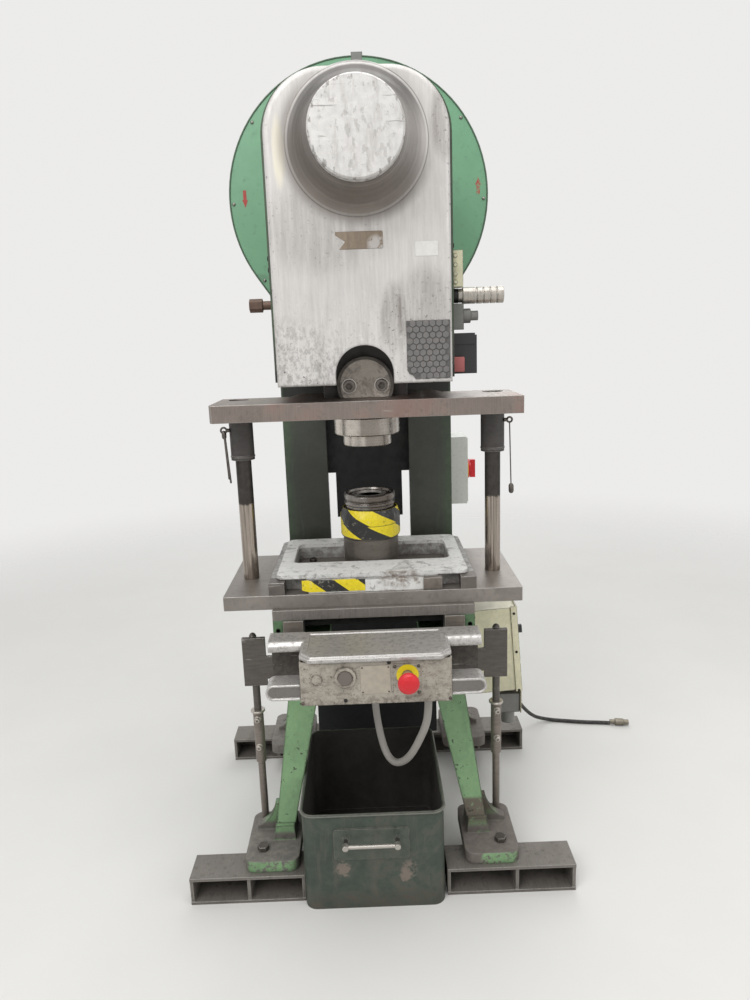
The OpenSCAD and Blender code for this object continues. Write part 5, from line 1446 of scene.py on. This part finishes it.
class PRESS_OT_die(bpy.types.Operator):
    """Wraps the hazard tape, and sets the small screws and fittings of the die set"""

    bl_idname = "press.die"
    bl_label = "Die set"

    # The height of the band round the die, and where the strip on the rail starts and ends
    band = (0.766, 0.8295)
    strip_x = (-0.151, -0.016)
    strip_wide = 0.030
    # How much of the strip is on the rail's front, under its fold
    strip_front = 0.0235

    def execute(self, context):
        self.tape_band()
        self.tape_strip()
        low = LOCATOR[0]
        grey = steel("block_steel", tint(124, 116, 108), (4, 4, 4), 0.45, 0.6, (70, 62, 54), 0.5)
        block = ((0.109, low.y - 0.0045, low.z + 0.001), (0.149, low.y + 0.012, low.z + 0.0275))
        merged("rail_block", [block], "press_frame", "dark_steel", grey, 0.0012)
        dark = plain("dark_bolt", tint(70, 66, 62), 0.4, 0.8, 0.2)
        screws("recess_bolt", "socket", 0.018, [((-0.1438, -0.002, low.z), UP)], "press_frame",
               "dark_steel", dark)
        bright = plain("washer_steel", tint(188, 182, 174), 0.28, 0.95, 0.18)
        washer = [(0.0128, 0.0), (0.0128, 0.0016), (0.0165, 0.0016), (0.0172, 0.0)]
        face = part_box("ram_cap")[0].y + 0.003
        washers = [(washer, (x, face, 1.113), FRONT) for x in (-0.0345, 0.0345)]
        turned("cap_washers", washers, "ram_and_upper_die", "machined_steel", bright)
        ring = [(0.0392, 0.0), (0.0392, 0.006), (0.0300, 0.006), (0.0288, 0.0)]
        seat = (0, DIE_Y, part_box("die_ring")[1].z - 0.0085)
        turned("die_insert", [(ring, seat, UP)], "press_frame", "machined_steel",
               plain("insert_steel", tint(150, 145, 140), 0.3, 0.6, 0.2))
        self.pins()
        return {"FINISHED"}

    def tape_band(self):
        """Crinkled hazard tape round the die body, folded over its top edge."""
        around, rows = 180, 22
        radius = (DIE[1].x - DIE[0].x) / 2
        bottom, top = self.band
        skins = (sizes().tape_thickness, 0)

        def place(column, row, skin):
            v = row / rows
            a = 2 * math.pi * column / around
            way = Vector((math.cos(a), math.sin(a), 0))
            z = bottom + (top - bottom) * v + 0.0016 * math.sin(a * 2 + 1) * (1 - v)
            fold = max(0.0, z - (DIE[1].z - 0.013)) * 0.42
            crease = noise.noise(way * 5 + Vector((0, 0, v * 2.2)))
            fine = noise.noise(way * 16 + Vector((3, 1, v * 9)))
            crinkle = (0.0006 + 0.0016 * v**3) * (abs(crease) * 1.6 + fine * 0.5)
            out = radius + 0.0009 + skins[skin] - fold + crinkle
            return way * out + Vector((0, DIE_Y, z))

        self.tape("die_tape", hazard("hazard_tape", 0.140, 1.9, 0.080, 0.030), place, around, rows,
                  2 * math.pi * radius, top - bottom, True)

    def tape_strip(self):
        """A strip of hazard tape on the rail's front, with a curled end."""
        start, stop = self.strip_x
        front = LOCATOR[0].y
        ledge = LOCATOR[1].z - 0.009
        columns, rows = 60, 10
        skins = (0.0010, 0.0003)

        def place(column, row, skin):
            lift = skins[skin]
            x = start + (stop - start) * column / columns
            curl = max(0.0, 1 - column / 7)
            run = self.strip_wide * row / rows
            ripple = 0.0007 * noise.noise(Vector((x * 90, run * 120, 2)))
            if run >= self.strip_front:
                return Vector((x, front - lift + run - self.strip_front, ledge + lift + 0.0004 + ripple))
            low = ledge - self.strip_front + 0.006 * curl
            hang = curl * 0.004 * (1 - run / self.strip_wide)
            return Vector((x, front - lift - ripple - hang, low + run))

        self.tape("rail_tape", hazard("hazard_strip", 0.100, 1.3, 0.024), place, columns, rows,
                  stop - start, self.strip_wide)

    def tape(self, name, material, place, columns, rows, long, high, closed=False):
        """A tape of two skins, from its points by column, row and skin, where skin 0 is the outer one."""

        def build(made):
            uv = made.loops.layers.uv.new("tape")
            count = columns if closed else columns + 1
            skins = [
                [[made.verts.new(place(c, r, skin)) for r in range(rows + 1)] for c in range(count)]
                for skin in (0, 1)
            ]

            def corner(skin, column, row):
                return skins[skin][column % count][row]

            for skin in (0, 1):
                for c in range(columns):
                    for r in range(rows):
                        steps = [(c, r), (c + 1, r), (c + 1, r + 1), (c, r + 1)]
                        if skin:
                            steps.reverse()
                        face = made.faces.new([corner(skin, *step) for step in steps])
                        for loop, (i, k) in zip(face.loops, steps):
                            loop[uv].uv = (long * i / columns, high * k / rows)
            rims = [[(c, 0) for c in range(columns + 1)], [(c, rows) for c in range(columns, -1, -1)]]
            if not closed:
                rims.append([(columns, r) for r in range(rows + 1)])
                rims.append([(0, r) for r in range(rows, -1, -1)])
            for rim in rims:
                for near, far in zip(rim, rim[1:]):
                    made.faces.new((corner(0, *far), corner(0, *near), corner(1, *near), corner(1, *far)))

        piece(name, mesh_from(name, build), "press_frame", "yellow_plastic", material, angle=60)

    def pins(self):
        """The eye of each guide bush, with what hangs from it."""
        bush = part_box("guide_bushes")
        hung = ("ram_and_upper_die", "dark_steel", plain("pin_metal", tint(96, 91, 86), 0.38, 0.85, 0.2))
        y = -0.128
        stem, half = 0.0042, 0.004
        wire = 0.0022

        def rod(made, top, bottom, radius):
            top, bottom = Vector(top), Vector(bottom)
            length = (top - bottom).length
            profile = [
                (0.0, 0), (radius * 0.7, radius * 0.3), (radius, radius), (radius, length - radius),
                (radius * 0.7, length - radius * 0.3), (0.0, length),
            ]
            add_turned(made, profile, bottom, (top - bottom).normalized(), 12)

        def eye(made, x, z, side, ring):
            peg = [(0.0, -half), (stem, -half), (stem, half), (0.0, half)]
            add_turned(made, peg, (x, y, z), (side, 0, 0), 12)
            middle = Vector((x + side * (ring + 0.003), y, z))
            path = []
            for i in range(24):
                a, b = circle_point(1, 2 * math.pi * i / 24)
                out = Vector((a, 0, b))
                path.append((middle + out * ring, out))
            add_sweep(made, path, circle_section(wire, 8))

        def left(made):
            x = bush[0].x
            eye(made, x, 1.024, -1, 0.0062)
            rod(made, (x - 0.0090, y, 1.020), (x - 0.0050, y, 0.914), 0.0021)
            rod(made, (x - 0.0075, y - 0.003, 1.020), (x - 0.0012, y - 0.003, 0.906), 0.0021)
            rod(made, (x - 0.009, y, 1.004), (x - 0.009, y, 1.024), 0.0052)

        def right(made):
            x = bush[1].x
            eye(made, x, 1.026, 1, 0.0055)
            rod(made, (x + 0.0085, y, 1.022), (x + 0.0125, y, 0.878), 0.0014)
            rod(made, (x + 0.0125, y, 0.884), (x + 0.0130, y, 0.860), 0.0058)

        piece("lock_pins_left", mesh_from("lock_pins_left", left), *hung)
        piece("lock_pin_right", mesh_from("lock_pin_right", right), *hung)


class PRESS_OT_console(bpy.types.Operator):
    """Fits the console's plates, screws and sleeve clamps"""

    bl_idname = "press.console"
    bl_label = "Console"

    # Corners of the plates in x and z, and places of the screws, all on the housing's front
    bare_plate = ((-0.0300, 0.5405), (0.0285, 0.5995))
    stop_plate = ((0.0330, 0.5345), (0.0870, 0.6015))
    screw_places = (
        (-0.1435, 0.5255), (0.1430, 0.5255), (0.0365, 0.5955), (0.0825, 0.5955), (0.0825, 0.5405),
    )
    plug_places = ((-0.0600, 0.5285), (0.0260, 0.6045))
    blank_plug = (-0.1144, 0.5734)
    clamp_screw_z = (0.3600, 0.2900)

    def execute(self, context):
        front = CONSOLE[0].y + 0.006
        painted = ("console", "console_grey")
        housing = console_paint()
        beige = plain("bare_plate", tint(178, 170, 156), 0.45, 0.3, 0.1)
        for name, corners, radius, thick, material, edge in (
            ("bare_plate", self.bare_plate, 0.004, 0.0009, beige, 0.0003),
            ("stop_plate", self.stop_plate, 0.002, 0.0007, housing, 0.0002),
        ):
            (x0, z0), (x1, z1) = corners
            outline = rounded_outline(x0, x1, z0, z1, radius)
            plate(name, outline, front - thick, thick, *painted, material, edge)
        plug = [(0.0115, 0), (0.0115, 0.0009), (0.0105, 0.0011), (0.0100, 0.0005), (0.0, 0.0005)]
        x, z = self.blank_plug
        turned("blank_plug", [(plug, (x, front, z), FRONT)], *painted, housing)

        def on_front(places, lift):
            return [((x, front - lift, z), FRONT) for x, z in places]

        dull = plain("console_screws", tint(96, 90, 82), 0.4, 0.8, 0.25)
        screws("console_screws", "dome", sizes().small_screw, on_front(self.screw_places, 0.0006),
               "console", "dark_steel", dull, 2)
        black = plain("black_plugs", tint(34, 32, 30), 0.5, 0.1)
        screws("console_plugs", "hole", 0.0075, on_front(self.plug_places, 0.0004), "console",
               "black_plastic", black)
        (x0, z0), (x1, z1) = self.bare_plate
        inset = 0.004
        corners = [(x, z) for x in (x0 + inset, x1 - inset) for z in (z0 + inset, z1 - inset)]
        screws("plate_rivets", "dome", 0.0036, on_front(corners, 0.0009), "console", "dark_steel", dull, 3)
        self.sleeves()
        return {"FINISHED"}

    def sleeves(self):
        """Two clamp screws in the front of each post sleeve, and a ring on its top."""
        low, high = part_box("post_sleeves")
        bright = plain("clamp_screw_steel", tint(186, 180, 172), 0.3, 0.8, 0.2)
        fitted = ("press_frame", "machined_steel", bright)
        post_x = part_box("posts")[1].x - 0.0085
        y = (low.y + high.y) / 2
        places = [((side * post_x, y - 0.0112, z), FRONT) for side in (-1, 1) for z in self.clamp_screw_z]
        screws("clamp_screws", "nipple", sizes().set_screw, places, *fitted, 5)
        ring = [
            (0.0088, 0.0015), (0.0152, 0.0015), (0.0163, 0.0005), (0.0163, -0.003), (0.0152, -0.004),
            (0.0088, -0.0039),
        ]
        turned("sleeve_rings", [(ring, (side * post_x, y, high.z), UP) for side in (-1, 1)], *fitted)


class PRESS_OT_boxes(bpy.types.Operator):
    """Fits the screws and trims of the cabinet, the main switch and the table"""

    bl_idname = "press.boxes"
    bl_label = "Boxes and table"

    # The cabinet's front leans sideways by this angle in degrees, from this height down
    lean = 4
    cabinet_top = 0.540
    # The heights of the nipples on the head's two sides
    left_nipples = (1.378, 1.355)
    right_nipples = (1.392,)

    def execute(self, context):
        dark = plain("cabinet_screws", tint(52, 49, 45), 0.45, 0.7, 0.2)
        self.cabinet(dark)
        self.head()
        self.table(dark)
        self.bin_rim()
        return {"FINISHED"}

    def cabinet(self, dark):
        """Screws along the cabinet's front edges and its open flap, and the ring of the main switch."""
        low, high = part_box("electrical_box")
        slope = math.tan(math.radians(self.lean))
        places = []
        for x, y, heights in (
            (0.346, low.y, (0.532, 0.430, 0.326)),
            (0.247, low.y + 0.003, (0.524, 0.330)),
        ):
            places += [((x + (self.cabinet_top - z) * slope, y, z), FRONT) for z in heights]
        screws("cabinet_screws", "dome", sizes().small_screw, places, "press_frame", "dark_steel", dark, 6)
        cream = worn_paint("flap_cream", tint(206, 200, 168), tint(90, 84, 76), 0.5, 0.6)
        flap = ((high.x - 0.0045, low.y + 0.002, 0.262), (high.x - 0.0015, low.y + 0.074, 0.319))
        merged("cabinet_flap", [flap], "press_frame", "cream_paint", cream, 0.0006)
        low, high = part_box("main_switch_knob")
        centre = (low.x, (low.y + high.y) / 2, (low.z + high.z) / 2)
        ring = [(0.0272, -0.0003), (0.0335, -0.0003), (0.0335, 0.0015), (0.0325, 0.0022), (0.0272, 0.0022)]
        turned("switch_ring", [(ring, centre, RIGHT)], "press_frame", "yellow_plastic",
               plastic("switch_yellow", tint(238, 206, 40), 0.35, 0.35))

    def head(self):
        """The spindle's collar, the nipples and the dusty plug at the head's sides."""
        low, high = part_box("adjusting_spindle")
        side, y = low.x, (low.y + high.y) / 2
        fitted = ("press_frame", "dark_steel", plain("black_fitting", tint(44, 43, 42), 0.45, 0.5, 0.2))
        collar = [(0.0147, 0.0), (0.0147, 0.0185), (0.0141, 0.0185), (0.0141, 0.0)]
        centre = (side + 0.0003, y, (low.z + high.z) / 2)
        turned("spindle_collar", [(collar, centre, RIGHT)], *fitted)
        nipples = [((-side, y, z), LEFT) for z in self.left_nipples]
        nipples += [((side, y, z), RIGHT) for z in self.right_nipples]
        screws("head_nipples", "nipple", 0.0110, nipples, *fitted, 9)
        front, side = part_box("side_switch_box")[0].y, CASTING[1].x
        foot = CASTING[0].z + 0.014
        plug = ((side - 0.001, front - 0.010, foot), (side + 0.034, front + 0.0003, foot + 0.031))
        merged("side_plug", [plug], "press_frame", "red_plastic",
               plastic("dusty_red", tint(186, 108, 106), 0.5, 0.5), 0.0025)

    def table(self, dark):
        """Grey rails beside the slot in the table's front, and the dark set screws outside them."""
        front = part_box("frame")[0].y
        inner, outer = 0.152, 0.195
        grey = steel("rail_steel", tint(116, 108, 100), (2, 2, 12), 0.5, 0.6, (64, 58, 52), 0.45)
        rails = [
            ((x0, front - 0.004, 0.549), (x1, front, 0.6255))
            for x0, x1 in ((-outer, -inner), (inner, outer))
        ]
        merged("table_rails", rails, "press_frame", "dark_steel", grey, 0.001)
        places = [((x, front, 0.604), FRONT) for x in (-0.2065, 0.2065)]
        screws("table_screws", "hole", 0.010, places, "press_frame", "dark_steel", dark, 8)

    def bin_rim(self):
        """The rolled rim of the scrap bin, rubbed bright."""
        low, high = BIN[0].copy(), BIN[1].copy()
        handle_reach, corner = 0.033, 0.028
        low.y += handle_reach
        bright = steel("rim_steel", tint(132, 132, 124), (6, 6, 6), 0.4, 0.6, (66, 72, 64), 0.55)
        flat = rounded_outline(low.x, high.x, low.y, high.y, corner, 10)
        middle = Vector(((low.x + high.x) / 2, (low.y + high.y) / 2, 0))

        def build(made):
            path = []
            for i, (x, y) in enumerate(flat):
                (ax, ay), (bx, by) = flat[i - 1], flat[(i + 1) % len(flat)]
                out = Vector((by - ay, ax - bx, 0)).normalized()
                if out.dot(Vector((x, y, 0)) - middle) < 0:
                    out.negate()
                path.append((Vector((x, y, high.z - 0.0030)) - out * 0.0012, out))
            add_sweep(made, path, circle_section(0.0036, 10))

        piece("bin_rim", mesh_from("bin_rim", build), "press_frame", "bin_green", bright, angle=60)


STEPS = (
    PRESS_OT_stage,
    PRESS_OT_cords,
    PRESS_OT_paint,
    PRESS_OT_guard,
    PRESS_OT_casting,
    PRESS_OT_die,
    PRESS_OT_console,
    PRESS_OT_boxes,
)


class PRESS_PT_panel(bpy.types.Panel):
    """Lists the steps that dress the press"""

    bl_label = "Stamping press"
    bl_idname = "PRESS_PT_panel"
    bl_space_type = "VIEW_3D"
    bl_region_type = "UI"
    bl_category = "Press"

    def draw(self, context):
        for step in STEPS:
            self.layout.operator(step.bl_idname)
        for group in (context.scene.press_sizes, context.scene.press_colours):
            for key in group.__annotations__:
                self.layout.prop(group, key)


CLASSES = (PRESS_PG_colours, PRESS_PG_sizes, *STEPS, PRESS_PT_panel)


def register():
    for made in CLASSES:
        bpy.utils.register_class(made)
    bpy.types.Scene.press_colours = bpy.props.PointerProperty(type=PRESS_PG_colours)
    bpy.types.Scene.press_sizes = bpy.props.PointerProperty(type=PRESS_PG_sizes)


def unregister():
    del bpy.types.Scene.press_sizes
    del bpy.types.Scene.press_colours
    for made in reversed(CLASSES):
        bpy.utils.unregister_class(made)


def main():
    register()
    for step in STEPS:
        family, action = step.bl_idname.split(".")
        getattr(getattr(bpy.ops, family), action)()


if __name__ == "__main__":
    main()
